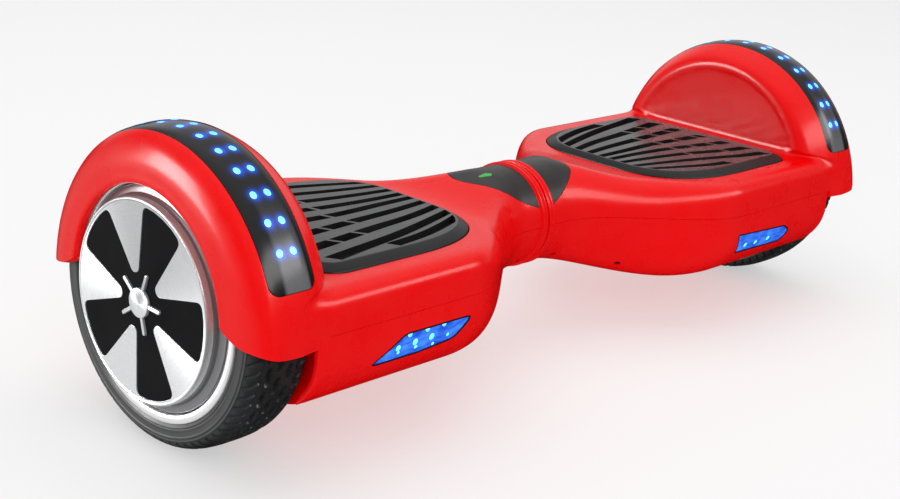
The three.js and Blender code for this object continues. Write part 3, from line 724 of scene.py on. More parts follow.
def hub_cap():
    """The small star in the middle of the wheel."""
    layers = [(8.1, -1.2), (8.1, 0.7), (7.9, 1.05), (7.5, 1.2), (3.0, 1.42), (0.6, 1.5)]
    cap = loft("hub_cap_l", [(circle(r), HUB_TOP + h) for r, h in layers], facing_out)
    arms = []
    for k in range(SPOKES):
        a = math.radians(SPOKE_PHASE + 36 + 72 * k)
        u, v = np.array([math.sin(a), math.cos(a)]), np.array([math.cos(a), -math.sin(a)])
        turns = np.radians(np.linspace(-90, 90, 9))
        tip = [u * (16.4 + 1.15 * math.cos(t)) + v * 1.15 * math.sin(t) for t in turns]
        root = [u * (4.0 - 1.15 * math.cos(t)) - v * 1.15 * math.sin(t) for t in turns]
        shape = np.array(tip + root)
        layers = [(shape, -1.15), (shape, 0.35), (offset(shape, 0.2), 0.65), (offset(shape, 0.5), 0.78)]
        arms.append(loft("arm", [(o, HUB_TOP + h) for o, h in layers], facing_out))
    return combine(cap, arms, "UNION")


def rim():
    outline = [(277.6, 57.4), (278.2, 61.6), (282.4, 62.0), (283.3, 62.4), (283.7, 63.2), (283.9, 64.6),
               (283.7, 66.0), (283.2, 66.9), (282.2, 67.2), (281.6, 66.6), (279.9, 65.75),
               (247.4, 65.75), (244.4, 67.1), (243.6, 66.4), (244.2, 62.6), (246.2, 60.0), (246.4, 17.8),
               (249.6, 17.8), (250.2, 57.0)]
    return lathe("rim_turned_l", outline, 216)


def motor_cover():
    outline = [(270.2, 17.9), (281.0, 17.9), (281.4, 18.3), (281.4, 46), (280.9, 47), (280.9, 58.4),
               (281.3, 58.9), (281.3, 61.2), (281.0, 61.55), (278.4, 61.55), (278.3, 21.2), (270.2, 21.2)]
    return lathe("motor_plate_l", outline, 180)


# ---------------------------------------------------------------- lamps

def domes(name, spots):
    """Small glowing caps; each spot is (centre, normal, radius, height)."""
    points, faces = [], []
    sides, levels = 14, 4
    for centre, normal, radius, height in spots:
        start = len(points)
        to_world = standing_on(centre, normal)
        for level in range(levels):
            t = level / levels * math.pi / 2
            reach, rise = radius * math.cos(t), height * math.sin(t)
            ring = [(reach * math.cos(q), reach * math.sin(q), rise)
                    for q in 2 * math.pi * np.arange(sides) / sides]
            points.extend(to_world(np.array(ring)))
        points.append(to_world(np.array([0, 0, height])))
        top = len(points) - 1
        for level in range(levels - 1):
            for k in range(sides):
                i, j = start + level * sides + k, start + level * sides + (k + 1) % sides
                faces.append([i, j, j + sides, i + sides])
        last = start + (levels - 1) * sides
        faces += [[last + k, last + (k + 1) % sides, top] for k in range(sides)]
        faces.append([start + k for k in range(sides)][::-1])
    return build(name, np.array(points), faces)


LED_ROWS = (260.0, 267.9)
LED_RADIUS = 90.7
LED_COUNT = 13
LED_REACH = 60.7
LED_PITCH = 2 * LED_REACH / (LED_COUNT - 1)


def fender_leds():
    spots = []
    for phi in np.radians(np.linspace(-LED_REACH, LED_REACH, LED_COUNT)):
        for row in LED_ROWS:
            radius = float(crest_radius(row, phi)) - 0.45
            centre = polar(row, radius, phi)
            spots.append((centre, (0, -math.sin(phi), math.cos(phi)), 2.5, 0.35))
    return domes("fender_leds_l", spots)


# Headlight spots as (s, height, radius) on the front.
SPOTS = {
    "r": [(205.2, -18.3, 2.0), (196.7, -13.9, 1.3), (184.0, -12.0, 1.9), (170.5, -12.0, 1.9),
          (157.6, -11.9, 1.8), (191.9, -18.7, 1.9), (179.2, -18.0, 2.1), (166.5, -17.8, 2.1),
          (153.4, -19.6, 1.1), (191.1, -21.6, 1.1), (177.9, -21.3, 1.3), (164.1, -22.9, 1.1)],
    "l": [(148.0, -23.8, 1.9), (161.1, -24.2, 1.9), (177.0, -24.0, 2.0)],
}


def front_point(s, z):
    """A point on the body's front at a height, with the direction it faces."""
    phi = math.pi / 2
    for _ in range(40):
        phi = math.acos(z / float(skin_radius(s, phi)))
    return skin_frame(s, phi)


def headlight_leds(tag):
    spots = []
    for s, z, radius in SPOTS[tag]:
        point, normal = front_point(s, z)
        spots.append((point - normal * 0.55, normal, radius, 0.5))
    return domes("headlight_leds_" + tag, spots)


def front_slice(name, tag, inset, bottom, top):
    """The part of the front wall inside a headlight's outline, between two depths under the skin."""
    phis = np.radians(np.linspace(88, 128, 70))
    band = polar_patch(name, lambda phi: (110, 234), phis, lambda s, phi: skin_radius(s, phi) - bottom,
                       lambda s, phi: skin_radius(s, phi) - top, 90)
    shape = offset(rounded(HEADLIGHTS[tag], EYE_CORNERS[tag], 10), inset)
    return combine(band, [prism("keep", shape, *FRONT_WALL, facing_side)], "INTERSECT")


def headlight_lens(tag):
    return front_slice("headlight_glass_" + tag, tag, BEZEL, 2.1, 0.4)


def headlight_bezel(tag):
    ring = front_slice("headlight_bezel_" + tag, tag, 0.05, 2.4, -0.05)
    return combine(ring, [front_slice("hole", tag, BEZEL - 0.05, 5, -3)])


# ---------------------------------------------------------------- small parts

BUTTON_BOX = corners("power_button")
SOCKET_BOX = corners("charge_port")
CAP_BOX = corners("charge_cap")
SCREW_BOX = corners("belly_screw_l")


def back_middle(box):
    """Middle of a round CAD part on the back, as [s, height]."""
    middle = (box[0] + box[1]) / 2
    return np.array([abs(middle[0]), middle[2] - AXLE_Z])


BUTTON_MIDDLE = back_middle(BUTTON_BOX)
SOCKET_MIDDLE = back_middle(SOCKET_BOX)
BUTTON_RADIUS = 7
SOCKET_RADIUS = 8
BACK_HOLES = [(BUTTON_MIDDLE, BUTTON_RADIUS + 0.4), (SOCKET_MIDDLE, SOCKET_RADIUS + 0.3)]


def turned(name, middle, rings, to_world):
    """A round solid about an axis through the middle; each ring is (radius, height)."""
    return loft(name, [(circle(radius, 48) + middle, height) for radius, height in rings], to_world)


def power_button():
    flange = (BUTTON_BOX[1][0] - BUTTON_BOX[0][0]) / 2
    inner, face = BUTTON_BOX[0][1], BUTTON_BOX[1][1]
    rings = [(flange, inner), (flange, inner + 2.6), (BUTTON_RADIUS, inner + 2.6),
             (BUTTON_RADIUS, face - 0.9), (6.75, face - 0.3), (6.2, face), (5.0, face),
             (4.4, face - 0.4), (0.4, face - 0.55)]
    return turned("power_button_cap", BUTTON_MIDDLE, rings, facing_side)


def charge_socket():
    inner, face = SOCKET_BOX[0][1], SOCKET_BOX[1][1]
    rings = [(SOCKET_RADIUS, inner), (SOCKET_RADIUS, inner + 4), (11, inner + 4), (11, inner + 7),
             (SOCKET_RADIUS, inner + 7), (SOCKET_RADIUS, face - 0.5), (SOCKET_RADIUS - 0.5, face)]
    body = turned("charge_socket", SOCKET_MIDDLE, rings, facing_side)
    combine(body, [turned("bore", SOCKET_MIDDLE, [(5.5, inner + 6), (5.5, face + 2)], facing_side)])
    pins = []
    for k in range(3):
        a = 2 * math.pi * k / 3
        middle = SOCKET_MIDDLE + (2.8 * math.sin(a), 2.8 * math.cos(a))
        rings = [(0.9, inner + 5), (0.9, face - 4), (0.4, face - 3.4)]
        pins.append(turned("pin", middle, rings, facing_side))
    return combine(body, pins, "UNION")


def charge_cover():
    inner, face = CAP_BOX[0][1], CAP_BOX[1][1]
    radius = (CAP_BOX[1][0] - CAP_BOX[0][0]) / 2
    rings = [(radius, inner), (radius, face - 0.7), (radius - 0.25, face - 0.2), (radius - 0.8, face),
             (7.6, face), (7.2, face - 0.35), (0.4, face - 0.4)]
    cover = turned("charge_cover", SOCKET_MIDDLE, rings, facing_side)
    s, z = SOCKET_MIDDLE
    top = CAP_BOX[1][2] - AXLE_Z
    tab = rounded([(s - 5, z + 8), (s + 5, z + 8), (s + 5, top), (s - 5, top)], (0, 0, 1.6, 1.6))
    layers = [(tab, inner), (tab, face - 0.6), (offset(tab, 0.4), face - 0.15)]
    return combine(cover, [loft("tab", layers, facing_side)], "UNION")


def belly_screw():
    middle = ((SCREW_BOX[0] + SCREW_BOX[1]) / 2)[:2]
    low, high = SCREW_BOX[0][2] - AXLE_Z, SCREW_BOX[1][2] - AXLE_Z
    rings = [(2.6, low), (3.35, low + 0.35), (3.6, low + 1.0), (3.6, low + 2.6), (2.0, low + 2.6),
             (2.0, high - 1), (1.3, high)]
    head = turned("belly_screw_head", middle, rings, lambda p: p)
    return combine(head, [prism("recess", cross(2.2, 0.45) + middle, low - 1, low + 1.3)])


# Corners of the lit window in the -X waist panel, as [s, y].
INDICATOR = [(38.5, -4.0), (38.8, -6.4), (31.5, -8.8), (28.2, -6.8), (31.8, -3.8)]


def indicator():
    phis = np.radians(np.linspace(-2, 26, 40))
    window = polar_patch("indicator_window", lambda phi: (24, 42), phis,
                         lambda s, phi: skin_radius(s, phi) - 1.2,
                         lambda s, phi: skin_radius(s, phi) + 0.18, 30)
    return combine(window, [prism("keep", rounded(INDICATOR, 1.1), 20, 40)], "INTERSECT")


# Recessed screws low on the front of each half, as [s, angle in degrees].
FRONT_SCREWS = {"l": [(68.3, 130.3), (23.7, 141.9)], "r": [(66, 132), (15.8, 136)]}
SCREW_RECESS = 1.5


def screw_holes(tag):
    rings = [(2.3, -SCREW_RECESS), (2.3, 3)]
    return [turned("hole", (0, 0), rings, standing_on(*skin_frame(s, math.radians(phi))))
            for s, phi in FRONT_SCREWS[tag]]


def front_screws(tag):
    heads = []
    for s, phi in FRONT_SCREWS[tag]:
        frame_at = standing_on(*skin_frame(s, math.radians(phi)))
        rings = [(1.9, -SCREW_RECESS - 0.6), (1.9, -SCREW_RECESS + 0.5), (1.5, -SCREW_RECESS + 0.8)]
        head = turned("front_screws_" + tag, (0, 0), rings, frame_at)
        slot_shape = cross(1.3, 0.25)
        heads.append(combine(head, [prism("slot", slot_shape, -SCREW_RECESS + 0.1, 1, frame_at)]))
    return combine(heads[0], heads[1:], "UNION")


# ---------------------------------------------------------------- materials

class Graph:
    """A node material that is put together one call at a time."""

    def __init__(self, name):
        self.material = bpy.data.materials.new(name)
        self.material.use_nodes = True
        self.tree = self.material.node_tree
        self.tree.nodes.clear()
        self.out = self.tree.nodes.new("ShaderNodeOutputMaterial")

    def add(self, kind, inputs=None, **settings):
        """A node with settings; each input is another node's output, a value, or a colour of three."""
        node = self.tree.nodes.new(kind)
        for key, value in settings.items():
            setattr(node, key, value)
        for key, value in (inputs or {}).items():
            socket = node.inputs[key]
            if isinstance(value, bpy.types.NodeSocket):
                self.tree.links.new(value, socket)
            else:
                socket.default_value = (*value, 1) if socket.type == "RGBA" else value
        return node

    def math(self, operation, a, b=0.0):
        return self.add("ShaderNodeMath", {0: a, 1: b}, operation=operation).outputs[0]

    def position(self):
        """Object coordinates in millimetres, with z from the axle line."""
        coords = self.add("ShaderNodeTexCoord").outputs["Object"]
        scaled = self.add("ShaderNodeVectorMath", {0: coords, 1: (1000, 1000, 1000)}, operation="MULTIPLY")
        inputs = {0: scaled.outputs[0], 1: (0, 0, AXLE_Z)}
        return self.add("ShaderNodeVectorMath", inputs, operation="SUBTRACT").outputs[0]

    def axes(self, vector):
        split = self.add("ShaderNodeSeparateXYZ", {0: vector})
        return split.outputs[0], split.outputs[1], split.outputs[2]

    def noise(self, scale, detail=4, rough=0.55, vector=None):
        """Noise whose scale is in features per metre."""
        inputs = {"Scale": scale, "Detail": detail, "Roughness": rough}
        inputs["Vector"] = vector or self.add("ShaderNodeTexCoord").outputs["Object"]
        return self.add("ShaderNodeTexNoise", inputs).outputs["Fac"]

    def spread(self, value, low, high, start, end, **settings):
        """The value moved from the range low to high into the range start to end."""
        inputs = {"Value": value, "From Min": low, "From Max": high, "To Min": start, "To Max": end}
        return self.add("ShaderNodeMapRange", inputs, **settings).outputs["Result"]

    def mix(self, factor, a, b):
        """A colour between two colours; 6 and 7 are the node's colour inputs."""
        return self.add("ShaderNodeMix", {0: factor, 6: a, 7: b}, data_type="RGBA").outputs[2]

    def bump(self, height, strength, distance, edge=0.0):
        inputs = {"Strength": strength, "Distance": distance, "Height": height}
        if edge:
            inputs["Normal"] = self.add("ShaderNodeBevel", {"Radius": edge * MM}, samples=4).outputs[0]
        return self.add("ShaderNodeBump", inputs).outputs[0]

    def surface(self, **values):
        """The finished material; values are the shader's inputs with underscores for spaces."""
        inputs = {key.replace("_", " "): value for key, value in values.items()}
        shader = self.add("ShaderNodeBsdfPrincipled", inputs)
        self.tree.links.new(shader.outputs[0], self.out.inputs[0])
        return self.material


def plastic(name, light, dark, rough, grain=2600, depth=0.02, edge=0.5, patches=14, coat=0.0, specular=0.5,
            coat_rough=0.06):
    """Moulded plastic or rubber with faint patches of tone, a fine grain and worn-round edges."""
    g = Graph(name)
    tone = g.spread(g.noise(patches, 5), 0.35, 0.65, 0, 1)
    grit = g.noise(grain, 3)
    color = g.mix(tone, dark, light)
    roughness = g.spread(g.noise(60, 6), 0.3, 0.7, rough * 0.85, rough * 1.2)
    return g.surface(Base_Color=color, Roughness=roughness, Specular_IOR_Level=specular, Coat_Weight=coat,
                     Coat_Roughness=coat_rough, Normal=g.bump(grit, 0.25, depth * MM, edge))


# Angle of the painted reflection's wave on turned metal.
PAINTED_SHEEN_PHASE = 1.4


def metal(name, light, dark, rough, grain=500, edge=0.3, brushed=None, metallic=1.0, painted_sheen=0.0):
    """Metal with fine scratches; on turned rings about the axle line the colour darkens upwards by
    painted_sheen, a painted reflection of a turned disc's light and dark sectors.
    """
    g = Graph(name)
    x, y, z = g.axes(g.position())
    if brushed == "turned":
        radius = g.math("SQRT", g.math("ADD", g.math("MULTIPLY", y, y), g.math("MULTIPLY", z, z)))
        turn = g.math("ARCTAN2", y, z)
        lines = g.add("ShaderNodeCombineXYZ", {0: radius, 1: g.math("MULTIPLY", turn, 0.6), 2: x})
        grit = g.noise(7.0, 6, 0.7, lines.outputs[0])
    else:
        grit = g.noise(grain, 6, 0.65)
    color = g.mix(g.spread(grit, 0.3, 0.7, 0, 1), dark, light)
    roughness = g.spread(grit, 0.3, 0.7, rough * 0.8, rough * 1.25)
    values = {}
    # Painted reflection: the colour darkens in a wave round the axle line, in place of the light and dark
    # sectors a turned disc reflects.
    if painted_sheen:
        wave = g.math("SINE", g.math("ADD", turn, PAINTED_SHEEN_PHASE))
        color = g.mix(g.spread(wave, -1, 1, 0, painted_sheen), color, (0, 0, 0))
    if brushed:
        values["Anisotropic"] = 0.75
        values["Tangent"] = g.add("ShaderNodeTangent", direction_type="RADIAL", axis="X").outputs[0]
    return g.surface(Base_Color=color, Roughness=roughness, Metallic=metallic,
                     Normal=g.bump(grit, 0.2, 0.02 * MM, edge), **values)


RED = plastic("red_gloss", (0.86, 0.0, 0.001), (0.82, 0.0, 0.001), 0.28, 250, 0.001, 0, 9, 0.14, 0.12,
              coat_rough=0.14)
RUBBER = plastic("pad_rubber", (0.02, 0.021, 0.023), (0.014, 0.015, 0.016), 0.27, 3000, 0.012, 0.35, 20,
                 specular=0.42)
PAD_SIDE = plastic("pad_side", (0.016, 0.016, 0.017), (0.01, 0.01, 0.011), 0.42, 2500, 0.05, 0.2, 30, 0, 0.2)
TRIM_PLASTIC = plastic("trim_satin", (0.026, 0.019, 0.02), (0.018, 0.013, 0.014), 0.38, 3500, 0.012, 0.3, 12,
                       0, 0.26)
TYRE = plastic("tyre_rubber", (0.024, 0.025, 0.027), (0.014, 0.015, 0.016), 0.45, 2200, 0.06, 0.25, 40)
BLACK = plastic("black_plastic", (0.01, 0.01, 0.011), (0.006, 0.006, 0.007), 0.36, 3000, 0.015, 0.3, 25, 0,
                0.02)
# The silver gets a painted reflection, a wave of darker colour round the axle line.
SILVER = metal("brushed_silver", (0.95, 0.95, 0.96), (0.78, 0.79, 0.8), 0.3, brushed="turned", metallic=0.75,
               painted_sheen=0.32)
# A darker copy of the silver for the disc's flared side: painted shade on the same silver metal.
HUB_SIDE_PAINTED_SHADE = metal("hub_side_painted_shade", (0.42, 0.42, 0.43), (0.3, 0.3, 0.31), 0.35, brushed="turned", metallic=0.8)
WHITE_RING = metal("turned_rim", (0.98, 0.98, 0.98), (0.9, 0.9, 0.91), 0.34, brushed="turned", metallic=0.55)
STEEL = metal("steel", (0.5, 0.51, 0.53), (0.36, 0.37, 0.39), 0.35)
DARK_METAL = metal("dark_metal", (0.06, 0.06, 0.065), (0.03, 0.03, 0.033), 0.4, brushed="turned")
CAST = metal("cast_aluminium", (0.6, 0.61, 0.62), (0.46, 0.47, 0.48), 0.5, 300)
BRASS = metal("bushing_brass", (0.72, 0.5, 0.2), (0.6, 0.4, 0.15), 0.35)
COPPER = metal("copper_windings", (0.75, 0.34, 0.16), (0.5, 0.2, 0.09), 0.4, 900)
BOARD = plastic("circuit_board", (0.02, 0.14, 0.06), (0.012, 0.09, 0.04), 0.4, 1200, 0.05, 0.2, 120)
BATTERY = plastic("battery_wrap", (0.03, 0.09, 0.42), (0.02, 0.06, 0.32), 0.3, 500, 0.05, 0.5, 30)
CABLE = plastic("cable_rubber", (0.018, 0.018, 0.02), (0.012, 0.012, 0.013), 0.5, 1800, 0.05, 0.2, 60)


def headlight_material():
    g = Graph("headlight_blue")
    tone = g.noise(90, 4)
    streaks = g.add("ShaderNodeVectorMath", {0: g.position(), 1: (0.3, 0.3, 1.6)}, operation="MULTIPLY")
    blend = g.math("MULTIPLY", g.math("ADD", tone, g.noise(0.35, 3, 0.6, streaks.outputs[0])), 0.5)
    color = g.mix(g.spread(blend, 0.38, 0.62, 0, 1), (0.012, 0.06, 0.5), (0.06, 0.25, 0.85))
    return g.surface(Base_Color=color, Roughness=0.12, Transmission_Weight=0.2, Emission_Color=color,
                     Emission_Strength=0.5, Normal=g.bump(g.noise(700, 2), 0.2, 0.01 * MM, 0.3))


def glow(name, core, halo, strength):
    g = Graph(name)
    facing = g.add("ShaderNodeLayerWeight", {"Blend": 0.45}).outputs["Facing"]
    color = g.mix(facing, core, halo)
    speck = g.spread(g.noise(900, 2), 0.3, 0.7, 0.9, 1.1)
    return g.surface(Base_Color=color, Roughness=0.3, Emission_Color=color,
                     Emission_Strength=g.math("MULTIPLY", speck, strength))


def lens_material():
    """Smoked lens: black borders, a lighter band that thins out upwards, and light round each LED."""
    g = Graph("smoked_lens")
    x, y, z = g.axes(g.position())
    s = g.math("ABSOLUTE", x)
    phi = g.math("ARCTAN2", g.math("MULTIPLY", y, -1.0), z)
    cell = math.radians(LED_PITCH)
    local = g.math("SUBTRACT", g.math("MODULO", g.math("ADD", phi, cell * 30.5), cell), cell / 2)
    along = g.math("MULTIPLY", local, LED_RADIUS)
    halo = 0.0
    for row in LED_ROWS:
        across = g.math("SUBTRACT", s, row)
        squared = g.math("ADD", g.math("MULTIPLY", along, along), g.math("MULTIPLY", across, across))
        halo = g.math("ADD", g.math("EXPONENT", g.math("MULTIPLY", squared, -0.12)), halo)
    lit = g.spread(g.math("ABSOLUTE", phi), math.radians(LED_REACH + 2), math.radians(LED_REACH + 4), 1, 0)
    band_in = g.spread(s, 253.0, 255.0, 0, 1)
    band_out = g.spread(s, 269.0, 271.5, 1, 0)
    low_end = g.spread(g.math("ABSOLUTE", phi), math.radians(40), math.radians(70), 0, 1)
    band = g.math("MULTIPLY", g.math("MULTIPLY", band_in, band_out), low_end)
    grain = g.spread(g.noise(1800, 3), 0.3, 0.7, 0.75, 1.15)
    color = g.mix(g.math("MULTIPLY", band, grain), (0.006, 0.006, 0.007), (0.14, 0.14, 0.15))
    strength = g.math("MULTIPLY", g.math("MULTIPLY", halo, lit), 1.3)
    return g.surface(Base_Color=color, Roughness=0.2, Specular_IOR_Level=0.22,
                     Emission_Color=(0.01, 0.12, 1.0), Emission_Strength=strength,
                     Normal=g.bump(g.noise(1200, 2), 0.15, 0.006 * MM, 0.4))


LENS = lens_material()
HEADLIGHT = headlight_material()
LED = glow("led_white", (0.22, 0.85, 0.95), (0.02, 0.4, 1.0), 1.05)
GREEN = glow("led_green", (0.015, 0.3, 0.03), (0.01, 0.2, 0.02), 0.55)


# ---------------------------------------------------------------- shells

HALVES = (("l", "left_half", "pad_left"), ("r", "right_half", "pad_right"))


def upper_shell():
    """The deck with its fender, the pad's pocket and the light strip's recess."""
    phis = angles(-97, 97, 0.8, 1.6, [(60, 97)])
    rings = [polar(ring[:, 0], ring[:, 1], phi) for phi, ring in ((p, upper_ring(p)) for p in phis)]
    shell = sweep("upper", np.array(rings))
    tools = [block("under", (-5, LOWER_END + 0.3), (-140, 140), (-60, SEAM))]
    tools += [foot_cutter(1), foot_cutter(-1)]
    tools.append(prism("pocket", pad_outline(0.75), DECK_HEIGHT - 5, DECK_HEIGHT + 20))
    tools.append(strip_block("strip", 0.35, 2.6, 10))
    return combine(shell, tools)


def lower_shell():
    """The belly cover, open to the wheel well."""
    front = angles(84, 180, 1.0, 2.0, [(84, 130)])
    phis = np.unique(np.round(np.concatenate([front, 2 * math.pi - front]), 9))
    outer_s = np.concatenate([NECK + WAIST_GAP, np.linspace(13, LOWER_END - 1.2, 74),
                              [LOWER_END - 0.6, LOWER_END - 0.15, LOWER_END]])
    inner_s = np.linspace(236, WAIST_GAP, 22)
    rings = []
    for phi in phis:
        outer = skin_radius(outer_s, phi)
        outer[-3:] -= (0.1, 0.45, 1.0)
        end = outer[-1] - 2.2
        well = [(LOWER_END, end), (240, end), (240, 10), (236.5, 10)]
        inner = np.column_stack([inner_s, body_radius(inner_s, phi) - WALL])
        rings.append(polar(*np.vstack([np.column_stack([outer_s, outer]), well, inner]).T, phi))
    shell = sweep("lower", np.array(rings))
    tools = [block("over", (-5, LOWER_END + 5), (-140, 140), (-SEAM, 60))]
    tools.append(lathe("well", [(240.0, 3), (262, 3), (262, WELL_RADIUS), (240.0, WELL_RADIUS)], 120))
    screw_at = ((SCREW_BOX[0] + SCREW_BOX[1]) / 2)[:2]
    tools.append(turned("screw_hole", screw_at, [(2.3, -60), (2.3, -40)], lambda p: p))
    return combine(shell, tools)


def headlight_opening(tag):
    outline = rounded(HEADLIGHTS[tag], EYE_CORNERS[tag], 10)
    return prism("opening", outline, *FRONT_WALL, facing_side)


def back_openings():
    return [prism("opening", circle(radius, 48) + middle, *BACK_WALL, facing_side)
            for middle, radius in BACK_HOLES]


def build_half(tag, body, pad_body, sources):
    """The shells, lights, trim and pad of one half, from the sources that both halves share."""
    upper, lower, strip_source = sources
    shell = combine(copied(upper, "body_upper_" + tag), [trim_block("recess", tag, 0.45, 1.5, 8)])
    panel = trim_block("trim_" + tag, tag, 0.0, 1.4, 0.03)
    screws = front_screws(tag)
    openings = [headlight_opening(tag)] + screw_holes(tag) + (back_openings() if tag == "r" else [])
    under = combine(copied(lower, "body_lower_" + tag), openings)
    strip = copied(strip_source, "fender_light_" + tag)
    foot = pad("pad_tread_" + tag, tag == "l")
    glass, bezel, lamps = headlight_lens(tag), headlight_bezel(tag), headlight_leds(tag)
    if tag == "r":
        for piece in (shell, panel, screws, under, strip, foot, glass, bezel, lamps):
            flipped(piece)
    finish_piece(shell, body, RED, ["upper_shell_" + tag])
    finish_piece(panel, body, TRIM_PLASTIC, ["trim_panel_" + tag])
    finish_piece(screws, body, BLACK)
    finish_piece(under, body, RED, ["lower_shell_" + tag])
    finish_piece(strip, body, LENS, ["fender_lens_" + tag])
    finish_piece(foot, pad_body, [RUBBER, PAD_SIDE], ["foot_pad_" + tag], 40)
    paint_sides(foot, on_pad_top)
    finish_piece(glass, body, HEADLIGHT, ["headlight_lens_" + tag])
    finish_piece(bezel, body, BLACK)
    finish_piece(lamps, body, LED, [], 60)


shared = (upper_shell(), lower_shell(), strip_block("fender_light_l", 0.0, 2.2, -0.25))
for tag, body, pad_body in HALVES:
    build_half(tag, body, pad_body, shared)
for source in shared:
    remove(source)


def pair(make, names, bodies, material, replaced, angle=30):
    """Builds a piece for the +X half and its mirror image for the -X half."""
    first = make()
    second = mirrored(first, names + "_r")
    first.name = names + "_l"
    for obj, tag, body in ((first, "l", bodies[0]), (second, "r", bodies[1])):
        finish_piece(obj, body, material, [node + "_" + tag for node in replaced], angle)
    return first, second


WHEELS = ("wheel_left", "wheel_right")
BODIES = ("left_half", "right_half")
pair(tyre, "tyre_tread", WHEELS, TYRE, ["tyre"], 35)
pair(rim, "rim_turned", WHEELS, WHITE_RING, ["rim"], 25)
pair(motor_cover, "motor_plate", WHEELS, DARK_METAL, ["motor_cover"], 25)
# The disc's flared side gets the darker silver copy, which is painted shade.
for disc in pair(hub_cover, "hub_disc", WHEELS, [SILVER, HUB_SIDE_PAINTED_SHADE], ["hub_cover"], 20):
    paint_sides(disc, on_hub_face)
pair(hub_inlay, "hub_petals", WHEELS, BLACK, ["hub_inlay"], 25)
pair(hub_cap, "hub_cap", WHEELS, SILVER, ["centre_cap"], 30)
pair(fender_leds, "fender_leds", BODIES, LED, [], 60)
pair(belly_screw, "belly_screw_head", BODIES, STEEL, ["belly_screw"])

finish_piece(flipped(power_button()), "button", BLACK, ["power_button"])
finish_piece(flipped(charge_socket()), "right_half", BLACK, ["charge_port"])
finish_piece(flipped(charge_cover()), "port_cover", RUBBER, ["charge_cap"])
finish_piece(flipped(indicator()), "right_half", GREEN, ["battery_indicator"])


# Procedural finish of every CAD node that is still shown, by its slot in the record.
SLOT_MATERIALS = {
    "red_shell": RED, "smoked_lens": LENS, "headlight_lens": HEADLIGHT, "trim_plastic": TRIM_PLASTIC,
    "pad_rubber": RUBBER, "tyre_rubber": TYRE, "rim_white": WHITE_RING, "hub_silver": SILVER,
    "inlay_black": BLACK, "dark_metal": DARK_METAL, "steel": STEEL, "cast_aluminium": CAST,
    "windings": COPPER, "bushing_brass": BRASS, "circuit_board": BOARD, "battery_pack": BATTERY,
    "black_plastic": BLACK, "cable": CABLE, "green_light": GREEN,
}
for part in frame["record"]["subparts"]:
    node = frame["nodes"][part["node"]]
    node.data.materials.clear()
    node.data.materials.append(SLOT_MATERIALS[part["material_slot"]])


# ---------------------------------------------------------------- stage

WORLD_LIGHT = 0.67
BACKGROUND = 0.93


def stage():
    mesh = bpy.data.meshes.new("floor")
    size = 12.0
    points = [(-size, -size, 0), (size, -size, 0), (size, size, 0), (-size, size, 0)]
    mesh.from_pydata(points, [], [(0, 1, 2, 3)])
    floor = bpy.data.objects.new("floor", mesh)
    bpy.context.scene.collection.objects.link(floor)
    g = Graph("floor_pale")
    tone = g.mix(g.noise(3, 2), (0.42, 0.42, 0.42), (0.43, 0.43, 0.43))
    floor.data.materials.append(g.surface(Base_Color=tone, Roughness=0.7, Specular_IOR_Level=0.1,
                                          Emission_Color=(1.0, 1.0, 1.0), Emission_Strength=0.51))
    floor.visible_glossy = False


class WorldGraph(Graph):
    """World light that depends on the direction a ray leaves in."""

    def __init__(self, world):
        self.tree = world.node_tree
        self.tree.nodes.clear()
        self.direction = self.add("ShaderNodeTexCoord").outputs["Generated"]

    def ramp(self, value, low, high, start, end):
        return self.spread(value, low, high, start, end, interpolation_type="SMOOTHSTEP")

    def towards(self, direction, low, high, level):
        """A level that grows as the ray turns towards the direction."""
        facing = self.add("ShaderNodeVectorMath", {0: self.direction, 1: direction}, operation="DOT_PRODUCT")
        return self.ramp(facing.outputs["Value"], low, high, 0.0, level)

    def choose(self, ray, usual, special):
        """The special level for one kind of ray, and the usual level for all others."""
        flag = self.add("ShaderNodeLightPath").outputs[ray]
        return self.add("ShaderNodeMix", {0: flag, 2: usual, 3: special}).outputs[0]


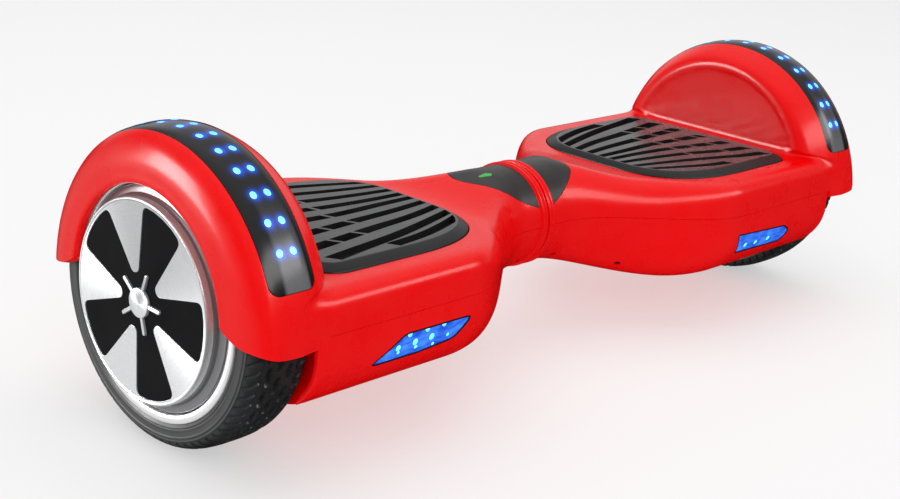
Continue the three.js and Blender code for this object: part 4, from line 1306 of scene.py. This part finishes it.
def studio():
    """Even pale light. Reflections see a bright ceiling, backdrop and left side, and a dark rest."""
    world = bpy.data.worlds.new("studio")
    bpy.context.scene.world = world
    world.use_nodes = True
    world.cycles.sampling_method = "NONE"
    g = WorldGraph(world)
    height = g.axes(g.direction)[2]
    ceiling = g.ramp(height, 0.30, 0.95, 0.0, 1.25)
    behind = g.towards((0.745, 0.667, 0.0), 0.35, 0.9, 0.8)
    backdrop = g.math("MULTIPLY", behind, g.ramp(height, -0.02, 0.12, 0.0, 1.0))
    left = g.towards((-0.70, 0.66, -0.28), 0.45, 0.97, 0.8)
    seen = g.math("MAXIMUM", g.math("MAXIMUM", ceiling, backdrop), left)
    level = g.choose("Is Camera Ray", g.choose("Is Glossy Ray", WORLD_LIGHT, seen), BACKGROUND)
    background = g.add("ShaderNodeBackground", {0: (1, 1, 1), 1: level})
    g.add("ShaderNodeOutputWorld", {0: background.outputs[0]})


def softbox(name, location, target, size, power, highlight=False):
    """An area light that lights surfaces evenly, or one that is only seen as a highlight."""
    light = bpy.data.lights.new(name, "AREA")
    light.shape = "RECTANGLE"
    light.size, light.size_y = size
    light.energy = power
    obj = bpy.data.objects.new(name, light)
    bpy.context.scene.collection.objects.link(obj)
    obj.location = location
    obj.rotation_euler = (Vector(target) - Vector(location)).to_track_quat("-Z", "Y").to_euler()
    obj.visible_glossy = highlight
    obj.visible_diffuse = not highlight
    obj.visible_camera = False


# The camera looks back along its azimuth and elevation, in degrees, and is rolled a little.
CAMERA_AZIMUTH, CAMERA_ELEVATION, CAMERA_ROLL = -138.249, 18.205, 4.819
CAMERA_PLACE = (-0.73694, -0.60915, 0.36879)
CAMERA_LENS = 61.06


def camera():
    data = bpy.data.cameras.new("camera")
    data.lens = CAMERA_LENS
    data.sensor_width = 36
    obj = bpy.data.objects.new("camera", data)
    bpy.context.scene.collection.objects.link(obj)
    azimuth, elevation, roll = np.radians((CAMERA_AZIMUTH, CAMERA_ELEVATION, CAMERA_ROLL))
    level = math.cos(elevation)
    back = Vector((level * math.cos(azimuth), level * math.sin(azimuth), math.sin(elevation)))
    rotation = back.to_track_quat("Z", "Y").to_matrix().to_4x4() @ Matrix.Rotation(roll, 4, "Z")
    obj.matrix_world = Matrix.Translation(CAMERA_PLACE) @ rotation
    bpy.context.scene.camera = obj


stage()
studio()
softbox("top_light", (0.1, 0.2, 1.6), (0, 0, 0), (2.2, 1.6), 11)
softbox("key_light", (-1.3, -1.1, 0.9), (0, 0, 0.08), (1.6, 1.2), 8)
softbox("fender_highlight", (-2.56, 1.86, 0.66), (-0.25, 0, 0.15), (1.2, 1.2), 130, True)
softbox("shoulder_highlight", (0.67, -2.48, 1.63), (0, 0, 0.1), (4.3, 0.9), 110, True)
camera()
bpy.context.scene.view_settings.view_transform = "Standard"
